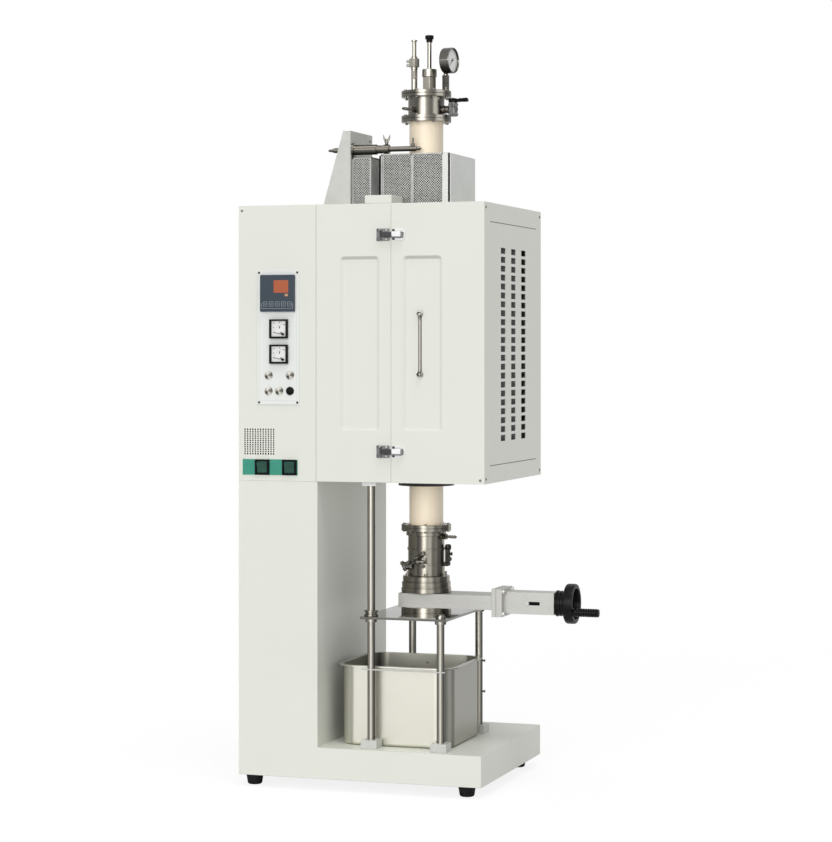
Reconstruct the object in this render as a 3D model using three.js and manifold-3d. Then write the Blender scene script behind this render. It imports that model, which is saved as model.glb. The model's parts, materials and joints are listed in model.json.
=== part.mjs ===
// Vertical split tube furnace on an L-shaped stand: a hinged right half opens round a ceramic work tube,
// whose lower end feeds through a screw-driven gate valve into a quench tank.
// Millimetres. X runs right and Y back from the control cabinet's front left edge, Z up from the floor,
// and the whole group is then shifted so that its origin is the middle of its footprint.
import * as THREE from "three";
import { mergeVertices } from "three/addons/utils/BufferGeometryUtils.js";
import Module from "manifold-3d";

const wasm = await Module();
wasm.setup();

// Driving dimensions
const footHeight = 30;
const plinthHeight = 81;
const plinthWidth = 665;
const plinthDepth = 560;
const pillarHeight = 691;
const pillarSideStep = 4;
const pillarSetback = 15;
const housingHeight = 720;
const housingDepth = 534;
const cabinetWidth = 217;
const furnaceWidth = 457;
const doorSeamX = 423;
const tubeX = 449.5;
const tubeY = 211;
const tubeRadius = 45;
const tubeBoreRadius = 40;
const tubeTop = 1768;
const tubeBottom = 650;
const sheet = 2;
const plateSpacing = 13;
const valveThickness = 37;
const supportPlateTop = 453;
const topHeadLap = 22;
const topHeadHeight = 74;

// Clearances shared by all pieces
const seamGap = 0.6;
const seatGap = 0.3;
const runGap = 0.5;
const overrun = 6;

// Levels worked out from the driving dimensions
const plinthTop = footHeight + plinthHeight;
const pillarDepth = plinthDepth - pillarSetback;
const pillarWidth = cabinetWidth + pillarSideStep;
const housingBottom = plinthTop + pillarHeight;
const housingTop = housingBottom + housingHeight;
const furnaceRight = cabinetWidth + furnaceWidth;
const topHeadBottom = tubeTop - topHeadLap;

// Finishes
function finish(color, roughness, metalness) {
  return new THREE.MeshStandardMaterial({ color, roughness, metalness });
}
const creamPaint = finish(0xe4e6dc, 0.5, 0.1);
const blackRubber = finish(0x1a1a1a, 0.9, 0);
const brushedSteel = finish(0xb9b8b2, 0.35, 1);
const polishedChrome = finish(0xd8d8d8, 0.15, 1);
const alumina = finish(0xe9d9bb, 0.6, 0);
const ceramicFibre = finish(0xf0efe8, 0.95, 0);
const blackPlastic = finish(0x1c1c1e, 0.5, 0);
const slatePlastic = finish(0x3e4a54, 0.5, 0);
const greenPlastic = finish(0x28917a, 0.5, 0);
const perforatedSteel = finish(0xb4b3aa, 0.45, 0.9);
const panelWhite = finish(0xe9eae4, 0.5, 0.1);

// Shape helpers: every shape is made in three.js and becomes a solid only to be joined or cut
function solid(geometry) {
  const bare = new THREE.BufferGeometry();
  const flat = geometry.index ? geometry.toNonIndexed() : geometry;
  bare.setAttribute("position", flat.getAttribute("position"));
  const merged = mergeVertices(bare, 1e-4);
  const corners = merged.index.array;
  const kept = [];
  for (let i = 0; i < corners.length; i += 3) {
    const [a, b, c] = [corners[i], corners[i + 1], corners[i + 2]];
    if (a !== b && b !== c && c !== a) kept.push(a, b, c);
  }
  const vertProperties = new Float32Array(merged.attributes.position.array);
  const triVerts = new Uint32Array(kept);
  return new wasm.Manifold(new wasm.Mesh({ numProp: 3, vertProperties, triVerts }));
}

function join(...shapes) {
  return shapes.reduce((all, shape) => all.add(shape));
}

function cut(body, ...tools) {
  return tools.reduce((rest, tool) => rest.subtract(tool), body);
}

function block(x0, x1, y0, y1, z0, z1) {
  const box = new THREE.BoxGeometry(x1 - x0, y1 - y0, z1 - z0);
  box.translate((x0 + x1) / 2, (y0 + y1) / 2, (z0 + z1) / 2);
  return solid(box);
}

// Cylinders along each axis, between two levels and round a centre line
function cylinderZ(radius, x, y, z0, z1, sides = 24) {
  const round = new THREE.CylinderGeometry(radius, radius, z1 - z0, sides);
  round.rotateX(Math.PI / 2);
  round.translate(x, y, (z0 + z1) / 2);
  return solid(round);
}

function cylinderY(radius, x, z, y0, y1, sides = 24) {
  const round = new THREE.CylinderGeometry(radius, radius, y1 - y0, sides);
  round.translate(x, (y0 + y1) / 2, z);
  return solid(round);
}

function cylinderX(radius, y, z, x0, x1, sides = 24) {
  const round = new THREE.CylinderGeometry(radius, radius, x1 - x0, sides);
  round.rotateZ(-Math.PI / 2);
  round.translate((x0 + x1) / 2, y, z);
  return solid(round);
}

// A profile of [radius, height] corners turned round the Z axis, either way round
function revolve(profile, sides = 32) {
  let area = 0;
  profile.forEach(([r, z], i) => {
    const [nextR, nextZ] = profile[(i + 1) % profile.length];
    area += r * nextZ - nextR * z;
  });
  const ordered = area > 0 ? profile : [...profile].reverse();
  const onAxis = ordered.every(([r]) => r > 0) ? [...ordered, ordered[0]] : startOnAxis(ordered);
  const points = onAxis.map(([r, z]) => new THREE.Vector2(r, z));
  return solid(new THREE.LatheGeometry(points, sides).rotateX(Math.PI / 2));
}

// The same corners, started where the profile leaves the axis, so that it ends where it meets it again
function startOnAxis(profile) {
  const count = profile.length;
  const first = profile.findIndex(([r], i) => r === 0 && profile[(i + 1) % count][0] > 0);
  return [...profile.slice(first), ...profile.slice(0, first)];
}

// An outline in the XY plane raised from z0 to z1
function raise(shape, z0, z1, curveSegments = 6) {
  const prism = new THREE.ExtrudeGeometry(shape, { depth: z1 - z0, bevelEnabled: false, curveSegments });
  return solid(prism.translate(0, 0, z0));
}

function outline(points) {
  return new THREE.Shape(points.map(([u, v]) => new THREE.Vector2(u, v)));
}

function roundedRectangle(x0, x1, y0, y1, radius) {
  const shape = new THREE.Shape();
  shape.absarc(x1 - radius, y1 - radius, radius, 0, Math.PI / 2);
  shape.absarc(x0 + radius, y1 - radius, radius, Math.PI / 2, Math.PI);
  shape.absarc(x0 + radius, y0 + radius, radius, Math.PI, 1.5 * Math.PI);
  shape.absarc(x1 - radius, y0 + radius, radius, 1.5 * Math.PI, 2 * Math.PI);
  return shape;
}

// Turns a shape built on its own origin and sets it at a place: angles in degrees
function place(shape, turns, x, y, z) {
  return shape.rotate(turns[0], turns[1], turns[2]).translate(x, y, z);
}

// A solid becomes one named mesh of the assembly
const furnace = new THREE.Group();
function piece(name, shape, material) {
  const result = shape.getMesh();
  const geometry = new THREE.BufferGeometry();
  geometry.setAttribute("position", new THREE.BufferAttribute(result.vertProperties, 3));
  geometry.setIndex(new THREE.BufferAttribute(result.triVerts, 1));
  geometry.computeVertexNormals();
  const mesh = new THREE.Mesh(geometry, material);
  mesh.name = name;
  furnace.add(mesh);
}

// Stand frame: one folded and welded enclosure, a low plinth with a pillar at its left,
// open underneath inside a folded rim and behind the pillar under a screwed cover
const undersideRim = 80;
const rearRim = 22;
const cableHoleRadius = 30;
const cableHoleY = 400;
const plinthShell = block(0, plinthWidth, 0, plinthDepth, footHeight, plinthTop);
const pillarShell = block(0, pillarWidth, 0, pillarDepth, footHeight, housingBottom);
const plinthInside = block(sheet, plinthWidth - sheet, sheet, plinthDepth - sheet, footHeight + sheet, plinthTop - sheet);
const pillarInside = block(sheet, pillarWidth - sheet, sheet, pillarDepth - sheet, footHeight + sheet, housingBottom - sheet);
const underside = block(
  undersideRim, plinthWidth - undersideRim, undersideRim, plinthDepth - undersideRim,
  footHeight - overrun, footHeight + sheet + overrun,
);
const rearWindow = block(
  rearRim, pillarWidth - rearRim, pillarDepth - sheet - overrun, pillarDepth + overrun,
  plinthTop + rearRim, housingBottom - rearRim,
);
const cableHole = cylinderZ(
  cableHoleRadius, cabinetWidth / 2, cableHoleY, housingBottom - sheet - overrun, housingBottom + sheet + overrun,
);
const standFrame = cut(join(plinthShell, pillarShell), plinthInside, pillarInside, underside, rearWindow, cableHole);
piece("stand_frame", standFrame, creamPaint);

// Pillar rear cover with the cable gland of the supply lead
const coverLap = 9;
const glandRadius = 12;
const glandLength = 11;
const glandBoreRadius = 6;
const glandZ = 200;
const glandCollarRadius = 15;
const glandCollarLength = 4;
const coverBack = pillarDepth + sheet;
const rearCover = join(
  block(
    rearRim - coverLap, pillarWidth - rearRim + coverLap, pillarDepth, coverBack,
    plinthTop + rearRim - coverLap, housingBottom - rearRim + coverLap,
  ),
  cylinderY(glandCollarRadius, pillarWidth / 2, glandZ, pillarDepth, coverBack + glandCollarLength, 6),
  cylinderY(glandRadius, pillarWidth / 2, glandZ, pillarDepth, coverBack + glandLength),
);
const glandBore = cylinderY(glandBoreRadius, pillarWidth / 2, glandZ, pillarDepth - overrun, coverBack + glandLength + overrun);
piece("pillar_rear_cover", cut(rearCover, glandBore), creamPaint);

// Rubber feet, turned, on the plinth's folded rim
const footLeftX = 28;
const footRightX = 614;
const footFrontY = 45;
const footRearInset = 45;
const footTopRadius = 22.5;
const footBottomRadius = 19;
const footChamfer = 2;
const footProfile = [
  [0, 0],
  [footBottomRadius - footChamfer, 0],
  [footBottomRadius, footChamfer],
  [footTopRadius, footHeight],
  [0, footHeight],
];
for (const [side, x] of [["left", footLeftX], ["right", footRightX]]) {
  for (const [end, y] of [["front", footFrontY], ["rear", plinthDepth - footRearInset]]) {
    piece(`foot_${end}_${side}`, revolve(footProfile, 20).translate(x, y, 0), blackRubber);
  }
}

// Control cabinet: a sheet-metal box on the pillar, with windows for the instruments, the switches and a vent field
const panelCentreX = 112;
const panelWidth = 118;
const panelBottom = 1001;
const panelHeight = 351;
const panelThickness = 2;
const panelLap = 8;
const stripLeft = 12;
const stripRight = 166;
const stripBottom = 817;
const stripHeight = 41;
const stripThickness = 2;
const stripLap = 5;
const ventLeft = 16;
const ventRight = 104;
const ventBottom = 870;
const ventTop = 938;
const ventColumns = 12;
const ventBarShare = 0.5;
const cabinetRight = cabinetWidth - seamGap / 2;
let cabinet = cut(
  block(0, cabinetRight, 0, housingDepth, housingBottom, housingTop),
  block(sheet, cabinetRight - sheet, sheet, housingDepth - sheet, housingBottom + sheet, housingTop - sheet),
  cableHole,
  block(
    panelCentreX - panelWidth / 2 + panelLap, panelCentreX + panelWidth / 2 - panelLap, -overrun, sheet + overrun,
    panelBottom + panelLap, panelBottom + panelHeight - panelLap,
  ),
  block(stripLeft + stripLap, stripRight - stripLap, -overrun, sheet + overrun, stripBottom + stripLap, stripBottom + stripHeight - stripLap),
);
const ventPitch = (ventRight - ventLeft) / ventColumns;
for (let column = 0; column < ventColumns; column += 1) {
  const slitLeft = ventLeft + column * ventPitch;
  const slitRight = slitLeft + ventPitch * (1 - ventBarShare);
  cabinet = cut(cabinet, block(slitLeft, slitRight, -overrun, sheet + overrun, ventBottom, ventTop));
}
piece("control_cabinet", cabinet, creamPaint);

// Instrument panel: a plate over the cabinet's window, with the rings of five push buttons raised on it
const controllerSize = 96;
const controllerZ = 1292;
const controllerBody = 91;
const controllerBodyDepth = 80;
const controllerBezel = 9;
const controllerFaceSink = 1.5;
const controllerRim = 3;
const meterSize = 50;
const meterUpperZ = 1199;
const meterLowerZ = 1133;
const meterBodyRadius = 21;
const meterBodyDepth = 35;
const meterBezel = 10;
const meterRim = 3;
const meterDialSink = 6;
const buttonPitchX = 30;
const buttonUpperZ = 1078;
const buttonLowerZ = 1037;
const buttonRingRadius = 11;
const buttonRingHeight = 3;
const buttonRadius = 8;
const buttonProud = 3;
const buttonTail = 8;
const instrumentsAside = 3.5;
const panelFront = -panelThickness;
const instrumentsX = panelCentreX + instrumentsAside;
const buttons = [
  ["button_upper_left", -buttonPitchX, buttonUpperZ, brushedSteel],
  ["button_upper_right", buttonPitchX, buttonUpperZ, brushedSteel],
  ["button_lower_left", -buttonPitchX, buttonLowerZ, brushedSteel],
  ["button_lower_middle", 0, buttonLowerZ, brushedSteel],
  ["button_lower_right", buttonPitchX, buttonLowerZ, blackPlastic],
];
const controllerHole = controllerBody / 2 + runGap;
let panel = cut(
  block(panelCentreX - panelWidth / 2, panelCentreX + panelWidth / 2, panelFront, 0, panelBottom, panelBottom + panelHeight),
  block(
    panelCentreX - controllerHole, panelCentreX + controllerHole, panelFront - overrun, overrun,
    controllerZ - controllerHole, controllerZ + controllerHole,
  ),
);
for (const z of [meterUpperZ, meterLowerZ]) {
  panel = cut(panel, cylinderY(meterBodyRadius + runGap, instrumentsX, z, panelFront - overrun, overrun));
}
for (const [, dx, z] of buttons) {
  const x = instrumentsX + dx;
  const ring = cylinderY(buttonRingRadius, x, z, panelFront - buttonRingHeight, 0, 16);
  panel = cut(join(panel, ring), cylinderY(buttonRadius + runGap, x, z, panelFront - buttonRingHeight - overrun, overrun, 16));
}
piece("instrument_panel", panel, panelWhite);
for (const [name, dx, z, material] of buttons) {
  const front = panelFront - buttonRingHeight - buttonProud;
  piece(name, cylinderY(buttonRadius, instrumentsX + dx, z, front, buttonTail, 16), material);
}

// Temperature controller: standard square bezel with its case through the panel
const controllerFront = panelFront - controllerBezel;
function squareBlock(half, x, z, y0, y1) {
  return block(x - half, x + half, y0, y1, z - half, z + half);
}
piece(
  "temperature_controller",
  cut(
    join(
      squareBlock(controllerSize / 2, panelCentreX, controllerZ, controllerFront, panelFront),
      squareBlock(controllerBody / 2, panelCentreX, controllerZ, panelFront, controllerBodyDepth),
    ),
    squareBlock(
      controllerSize / 2 - controllerRim, panelCentreX, controllerZ,
      controllerFront - overrun, controllerFront + controllerFaceSink,
    ),
  ),
  slatePlastic,
);

// Panel meters: a square frame round a sunk dial, with a post in the dial's lower right corner and a needle
// that turns on it
const meterPivotDrop = 14;
const meterPivotAside = 12;
const postRadius = 1.5;
const postHeight = 3;
const needleHubRadius = 3;
const needleLength = 27;
const needleWidth = 1.2;
const needleThickness = 1;
const needleRestAngle = 80;
const meterFront = panelFront - meterBezel;
const dialFace = meterFront + meterDialSink;
for (const [place_, z] of [["upper", meterUpperZ], ["lower", meterLowerZ]]) {
  const pivotZ = z - meterPivotDrop;
  const frame = join(
    squareBlock(meterSize / 2, instrumentsX, z, meterFront, panelFront),
    cylinderY(meterBodyRadius, instrumentsX, z, panelFront, meterBodyDepth),
  );
  const dialPocket = squareBlock(meterSize / 2 - meterRim, instrumentsX, z, meterFront - overrun, dialFace);
  const pivotX = instrumentsX + meterPivotAside;
  const post = cylinderY(postRadius, pivotX, pivotZ, dialFace - postHeight, dialFace + overrun / 2, 12);
  piece(`meter_${place_}`, join(cut(frame, dialPocket), post), blackPlastic);
  const needleBack = dialFace - runGap;
  const needle = cut(
    join(
      cylinderY(needleHubRadius, 0, 0, needleBack - postHeight, needleBack, 12),
      block(-needleWidth / 2, needleWidth / 2, needleBack - needleThickness, needleBack, 0, needleLength),
    ),
    cylinderY(postRadius + seatGap, 0, 0, needleBack - postHeight - overrun, needleBack + overrun, 12),
  );
  piece(`needle_${place_}`, place(needle, [0, -needleRestAngle, 0], pivotX, 0, pivotZ), blackPlastic);
}

// Switch strip with two framed rockers
const rockerCentres = [["left", 67.5], ["right", 144]];
const rockerFrameHalf = 20;
const rockerFrameHeight = 3;
const rockerHalfWidth = 14;
const rockerHalfHeight = 13;
const rockerCrown = 2;
const rockerProud = 7;
const rockerBack = 6;
const rockerTilt = 9;
const rockerWindowHalfWidth = rockerHalfWidth + runGap;
const rockerSweep = Math.hypot(rockerHalfHeight, rockerProud) + runGap;
const stripFront = -stripThickness;
const stripCentreZ = stripBottom + stripHeight / 2;
let strip = block(stripLeft, stripRight, stripFront, 0, stripBottom, stripBottom + stripHeight);
for (const [, x] of rockerCentres) {
  const frameBlock = block(
    x - rockerFrameHalf, x + rockerFrameHalf, stripFront - rockerFrameHeight, 0,
    stripCentreZ - rockerFrameHalf, stripCentreZ + rockerFrameHalf,
  );
  const window_ = block(
    x - rockerWindowHalfWidth, x + rockerWindowHalfWidth, stripFront - rockerFrameHeight - overrun, overrun,
    stripCentreZ - rockerSweep, stripCentreZ + rockerSweep,
  );
  strip = cut(join(strip, frameBlock), window_);
}
piece("switch_strip", strip, greenPlastic);
const rockerOutline = outline([
  [-rockerHalfHeight, -rockerBack],
  [rockerHalfHeight, -rockerBack],
  [rockerHalfHeight, rockerProud],
  [0, rockerProud - rockerCrown],
  [-rockerHalfHeight, rockerProud],
]);
for (const [side, x] of rockerCentres) {
  const rocker = raise(rockerOutline, -rockerHalfWidth, rockerHalfWidth);
  const upright = rocker.rotate(0, 90, 0).rotate(180, 0, 0);
  piece(`rocker_${side}`, place(upright, [rockerTilt, 0, 0], x, 0, stripCentreZ), blackPlastic);
}

// Furnace halves: two sheet-metal casings that part on the tube's own plane, with the right one's front edge
// lapping over a step in the left one, so that the seam seen in front stands left of the tube
const lapDepth = 25;
const lapGap = 1;
const neckRadius = 74;
const neckDrop = 16;
const neckRise = 10;
const chamberRadius = 52;
const liningSideGap = 57.5;
const liningHalfWidth = 150;
const liningFace = 14;
const neckGap = 1;
const leftEdge = cabinetWidth + seamGap / 2;
const splitLeft = tubeX - seamGap / 2;
const splitRight = tubeX + seamGap / 2;
const seamLeft = doorSeamX - seamGap / 2;
const seamRight = doorSeamX + seamGap / 2;
const lapFront = lapDepth - lapGap;
const neckHole = cylinderZ(neckRadius + neckGap, tubeX, tubeY, housingBottom - overrun, housingTop + overrun, 32);

const leftPlan = outline([
  [leftEdge, 0],
  [seamLeft, 0],
  [seamLeft, lapDepth],
  [splitLeft, lapDepth],
  [splitLeft, housingDepth],
  [leftEdge, housingDepth],
]);
const leftInnerPlan = outline([
  [leftEdge + sheet, sheet],
  [seamLeft - sheet, sheet],
  [seamLeft - sheet, lapDepth + sheet],
  [splitLeft + overrun, lapDepth + sheet],
  [splitLeft + overrun, housingDepth - sheet],
  [leftEdge + sheet, housingDepth - sheet],
]);
const rightPlan = outline([
  [seamRight, 0],
  [furnaceRight, 0],
  [furnaceRight, housingDepth],
  [splitRight, housingDepth],
  [splitRight, lapFront],
  [seamRight, lapFront],
]);
const rightInnerPlan = outline([
  [seamRight + sheet, sheet],
  [furnaceRight - sheet, sheet],
  [furnaceRight - sheet, housingDepth - sheet],
  [splitRight - overrun, housingDepth - sheet],
  [splitRight - overrun, lapFront + sheet],
  [splitRight, lapFront + sheet],
  [splitRight, lapFront - sheet],
  [seamRight + sheet, lapFront - sheet],
]);

// The sunk panel pressed into each half's front, with sloping sides, and the pan that it leaves inside
const recessDepth = 5;
const recessSlope = 8;
const recessBottom = 936;
const recessTop = 1386;
const recessCorner = 4;
const leftRecess = [283, 391];
const rightRecess = [455, 561];
function pressing([x0, x1], grow) {
  const edge = recessSlope - grow;
  const floor = roundedRectangle(x0 + edge, x1 - edge, recessBottom + edge, recessTop - edge, recessCorner);
  const tool = new THREE.ExtrudeGeometry(floor, {
    depth: overrun,
    bevelThickness: recessDepth,
    bevelSize: recessSlope,
    bevelSegments: 1,
    curveSegments: 3,
  });
  return solid(tool.rotateX(Math.PI / 2)).translate(0, grow, 0);
}
function casing(plan, innerPlan, recess) {
  const shell = cut(
    raise(plan, housingBottom, housingTop),
    raise(innerPlan, housingBottom + sheet, housingTop - sheet),
  );
  const frontOnly = block(0, furnaceRight, 0, housingDepth, housingBottom, housingTop);
  const pan = pressing(recess, sheet).intersect(frontOnly);
  return cut(join(shell, pan), pressing(recess, 0), neckHole);
}

// Hinges behind the split: a fixed leaf with two knuckles and the pin, and the swinging leaf's knuckle between them
const hingeHeight = 84;
const hingeCentres = [["upper", 1400], ["lower", 924]];
const hingeLeafWidth = 40;
const hingeLeafThickness = 3;
const hingeKnuckleRadius = 8;
const hingePinRadius = 4;
const hingeKnuckleShare = 0.3;
const hingeEndGap = 0.5;
const hingeX = tubeX;
const hingeY = housingDepth + hingeKnuckleRadius + runGap;
const knuckleHeight = hingeHeight * hingeKnuckleShare;
function span(a, b) {
  return a < b ? [a, b] : [b, a];
}
// A leaf screwed to one half's back, clear of the knuckles, with tabs that reach its own knuckles
function hingeLeaf(side, z, knuckles, front) {
  const [x0, x1] = span(hingeX + side * (hingeKnuckleRadius + runGap), hingeX + side * hingeLeafWidth);
  const [t0, t1] = span(hingeX + side * seamGap, hingeX + side * (hingeKnuckleRadius + runGap * 2));
  const back = housingDepth + hingeLeafThickness;
  return join(
    block(x0, x1, front, back, z - hingeHeight / 2, z + hingeHeight / 2),
    ...knuckles.map(([z0, z1]) => join(
      block(t0, t1, housingDepth, back, z0, z1),
      cylinderZ(hingeKnuckleRadius, hingeX, hingeY, z0, z1, 16),
    )),
  );
}
for (const [where, z] of hingeCentres) {
  const bottom = z - hingeHeight / 2;
  const top = z + hingeHeight / 2;
  const fixedHinge = join(
    hingeLeaf(-1, z, [[bottom, bottom + knuckleHeight], [top - knuckleHeight, top]], housingDepth),
    cylinderZ(hingePinRadius, hingeX, hingeY, bottom, top, 16),
  );
  piece(`hinge_${where}`, fixedHinge, brushedSteel);
}
const swingKnuckleHalf = hingeHeight / 2 - knuckleHeight - hingeEndGap;

// Latches across the front seam: a base with two ears on the left half, a lever on its pin, a flat keeper on the right
const latchCentres = [["upper", 1440.5], ["lower", 882]];
const latchBaseLeft = 384;
const latchBaseRight = 419;
const latchBaseHalfHeight = 16;
const latchBaseThickness = 2;
const latchPivotX = 394;
const latchPivotProud = 8.5;
const latchPinRadius = 2.2;
const latchKnuckleRadius = 5;
const latchArmHalfHeight = 9;
const latchEarThickness = 3;
const latchArmThickness = 3;
const latchArmLift = 4;
const latchArmEnd = 455;
const latchCurlRadius = 3.5;
const keeperLeft = 427;
const keeperRight = 461;
const keeperHalfHeight = 13;
const keeperThickness = 2.5;
const keeperCorner = 10;
for (const [where, z] of latchCentres) {
  const earIn = latchArmHalfHeight + runGap;
  const earOut = earIn + latchEarThickness;
  const pivotY = -latchPivotProud;
  const ears = [-1, 1].map((side) => {
    const [z0, z1] = side < 0 ? [z - earOut, z - earIn] : [z + earIn, z + earOut];
    return join(
      cylinderZ(latchKnuckleRadius, latchPivotX, pivotY, z0, z1, 16),
      block(latchPivotX - latchKnuckleRadius, latchPivotX + latchKnuckleRadius, pivotY, 0, z0, z1),
    );
  });
  const base = join(
    block(latchBaseLeft, latchBaseRight, -latchBaseThickness, 0, z - latchBaseHalfHeight, z + latchBaseHalfHeight),
    ...ears,
    cylinderZ(latchPinRadius, latchPivotX, pivotY, z - earIn - latchEarThickness / 2, z + earIn + latchEarThickness / 2, 12),
  );
  piece(`latch_base_${where}`, base, polishedChrome);
  const armBack = -latchArmLift;
  const armFront = armBack - latchArmThickness;
  const lever = cut(
    join(
      cylinderZ(latchKnuckleRadius, latchPivotX, pivotY, z - latchArmHalfHeight, z + latchArmHalfHeight, 16),
      block(latchPivotX, latchArmEnd, armFront, armBack, z - latchArmHalfHeight, z + latchArmHalfHeight),
      cylinderZ(latchCurlRadius, latchArmEnd, armBack - latchCurlRadius, z - latchArmHalfHeight, z + latchArmHalfHeight, 16),
    ),
    cylinderZ(latchPinRadius + seatGap, latchPivotX, pivotY, z - latchBaseHalfHeight, z + latchBaseHalfHeight, 12),
  );
  piece(`latch_lever_${where}`, lever, polishedChrome);
}

// Left half: casing with the door switch's box on its top edge
const switchBoxLeft = 348;
const switchBoxRight = 421;
const switchBoxFront = 10;
const switchBoxRear = 100;
const switchBoxHeight = 22;
const leftCasing = join(
  casing(leftPlan, leftInnerPlan, leftRecess),
  block(switchBoxLeft, switchBoxRight, switchBoxFront, switchBoxRear, housingTop - sheet, housingTop + switchBoxHeight),
);
piece("left_casing", leftCasing, creamPaint);

// Right half: casing with a vent field in its side, the two keepers and the swinging hinge knuckles
const slotColumns = 3;
const slotRows = 22;
const slotLength = 43;
const slotHeight = 15.5;
const slotFirstY = 148.5;
const slotColumnPitch = 95.5;
const slotRowPitch = 23.2;
const slotLowestZ = 907;
const slotTools = [];
for (let column = 0; column < slotColumns; column += 1) {
  for (let row = 0; row < slotRows; row += 1) {
    const y = slotFirstY + column * slotColumnPitch;
    const z = slotLowestZ + row * slotRowPitch;
    slotTools.push(block(furnaceRight - sheet - overrun, furnaceRight + overrun, y, y + slotLength, z, z + slotHeight));
  }
}
const keepers = latchCentres.map(([, z]) => {
  const plate = roundedRectangle(keeperLeft, keeperRight, z - keeperHalfHeight, z + keeperHalfHeight, keeperCorner);
  return raise(plate, 0, keeperThickness + sheet / 2, 3).rotate(90, 0, 0).translate(0, sheet / 2, 0);
});
const swingHinges = hingeCentres.map(([, z]) => cut(
  hingeLeaf(1, z, [[z - swingKnuckleHalf, z + swingKnuckleHalf]], housingDepth - sheet / 2),
  cylinderZ(hingePinRadius + seatGap, hingeX, hingeY, z - hingeHeight, z + hingeHeight, 16),
));
const rightCasing = cut(
  join(casing(rightPlan, rightInnerPlan, rightRecess), ...keepers, ...swingHinges),
  ...slotTools,
);
piece("right_casing", rightCasing, creamPaint);

// Door handle: a bent bar with a washer at each foot, on the right recess's floor
const handleX = 500;
const handleBottomZ = 1081;
const handleTopZ = 1237;
const handleReach = 25;
const handleRadius = 5;
const handleBend = 16;
const handleWasherRadius = 8.5;
const handleWasherThickness = 3;
const handleFootY = recessDepth - seatGap;
const bar = new THREE.CurvePath();
const handleCorners = [
  [handleFootY, handleBottomZ],
  [-handleReach + handleBend, handleBottomZ],
  [-handleReach, handleBottomZ],
  [-handleReach, handleBottomZ + handleBend],
  [-handleReach, handleTopZ - handleBend],
  [-handleReach, handleTopZ],
  [-handleReach + handleBend, handleTopZ],
  [handleFootY, handleTopZ],
].map(([y, z]) => new THREE.Vector3(handleX, y, z));
bar.add(new THREE.LineCurve3(handleCorners[0], handleCorners[1]));
bar.add(new THREE.QuadraticBezierCurve3(handleCorners[1], handleCorners[2], handleCorners[3]));
bar.add(new THREE.LineCurve3(handleCorners[3], handleCorners[4]));
bar.add(new THREE.QuadraticBezierCurve3(handleCorners[4], handleCorners[5], handleCorners[6]));
bar.add(new THREE.LineCurve3(handleCorners[6], handleCorners[7]));
function ringShape(radius, sides) {
  const corners = [];
  for (let i = 0; i < sides; i += 1) {
    const angle = (2 * Math.PI * i) / sides;
    corners.push([radius * Math.cos(angle), radius * Math.sin(angle)]);
  }
  return outline(corners);
}
const handleBar = solid(new THREE.ExtrudeGeometry(ringShape(handleRadius, 8), { steps: 24, extrudePath: bar }));
const handleWashers = [handleBottomZ, handleTopZ].map((z) =>
  cylinderY(handleWasherRadius, handleX, z, handleFootY - handleWasherThickness, handleFootY, 16));
piece("door_handle", join(handleBar, ...handleWashers), brushedSteel);

// Fibre linings: a face board across each half's opening and a thick block behind it, bored to a half round
// chamber, with a half round neck that closes the casing's hole round the tube above and below
const boreTool = cylinderZ(chamberRadius, tubeX, tubeY, housingBottom - neckDrop - overrun, housingTop + neckRise + overrun, 32);
function lining(side) {
  const face = tubeX + side * (seamGap / 2);
  const faceBack = tubeX + side * liningFace;
  const back = side < 0 ? leftEdge + sheet + liningSideGap : furnaceRight - sheet - liningSideGap;
  const far = tubeX + side * (neckRadius + overrun);
  const [f0, f1] = span(face, faceBack);
  const [b0, b1] = span(face, back);
  const [n0, n1] = span(face, far);
  const low = housingBottom + sheet + seatGap;
  const high = housingTop - sheet - seatGap;
  const frontY = lapDepth + sheet + seatGap;
  const rearY = housingDepth - sheet - seatGap;
  const neck = cylinderZ(neckRadius, tubeX, tubeY, housingBottom - neckDrop, housingTop + neckRise, 32)
    .intersect(block(n0, n1, tubeY - neckRadius - overrun, tubeY + neckRadius + overrun,
      housingBottom - neckDrop - overrun, housingTop + neckRise + overrun));
  return cut(
    join(
      block(f0, f1, frontY, rearY, low, high),
      block(b0, b1, tubeY - liningHalfWidth, tubeY + liningHalfWidth, low, high),
      neck,
    ),
    boreTool,
  );
}
piece("left_lining", lining(-1), ceramicFibre);
piece("right_lining", lining(1), ceramicFibre);

// Guards on top: two half cages of perforated sheet round the tube, and a narrow box over the left terminals
const cageSheet = 1.5;
const cageLeft = 366;
const cageRight = 550;
const cageFront = 101;
const cageDepth = 224;
const cageHeight = 135;
const guardHeight = 131;
const cageSeamX = 446;
const cageTubeGap = 5;
const guardLeft = 267.5;
const guardRight = 320;
const guardFront = 137;
const guardRear = 297;
const cageBottom = housingTop + seatGap;
const cageTop = cageBottom + cageHeight;
const cageRear = cageFront + cageDepth;
const cageNotch = cylinderZ(tubeRadius + cageTubeGap, tubeX, tubeY, cageTop - overrun, cageTop + overrun);
function openBox(x0, x1, y0, y1, height, inner) {
  const top = cageBottom + height;
  return cut(
    block(x0, x1, y0, y1, cageBottom, top),
    block(inner[0], inner[1], y0 + cageSheet, y1 - cageSheet, cageBottom - overrun, top - cageSheet),
  );
}
const cageSeamLeft = cageSeamX - seamGap / 2;
const cageSeamRight = cageSeamX + seamGap / 2;
piece(
  "cage_left",
  cut(
    openBox(cageLeft, cageSeamLeft, cageFront, cageRear, cageHeight, [cageLeft + cageSheet, cageSeamLeft + overrun]),
    cageNotch,
  ),
  perforatedSteel,
);
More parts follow.
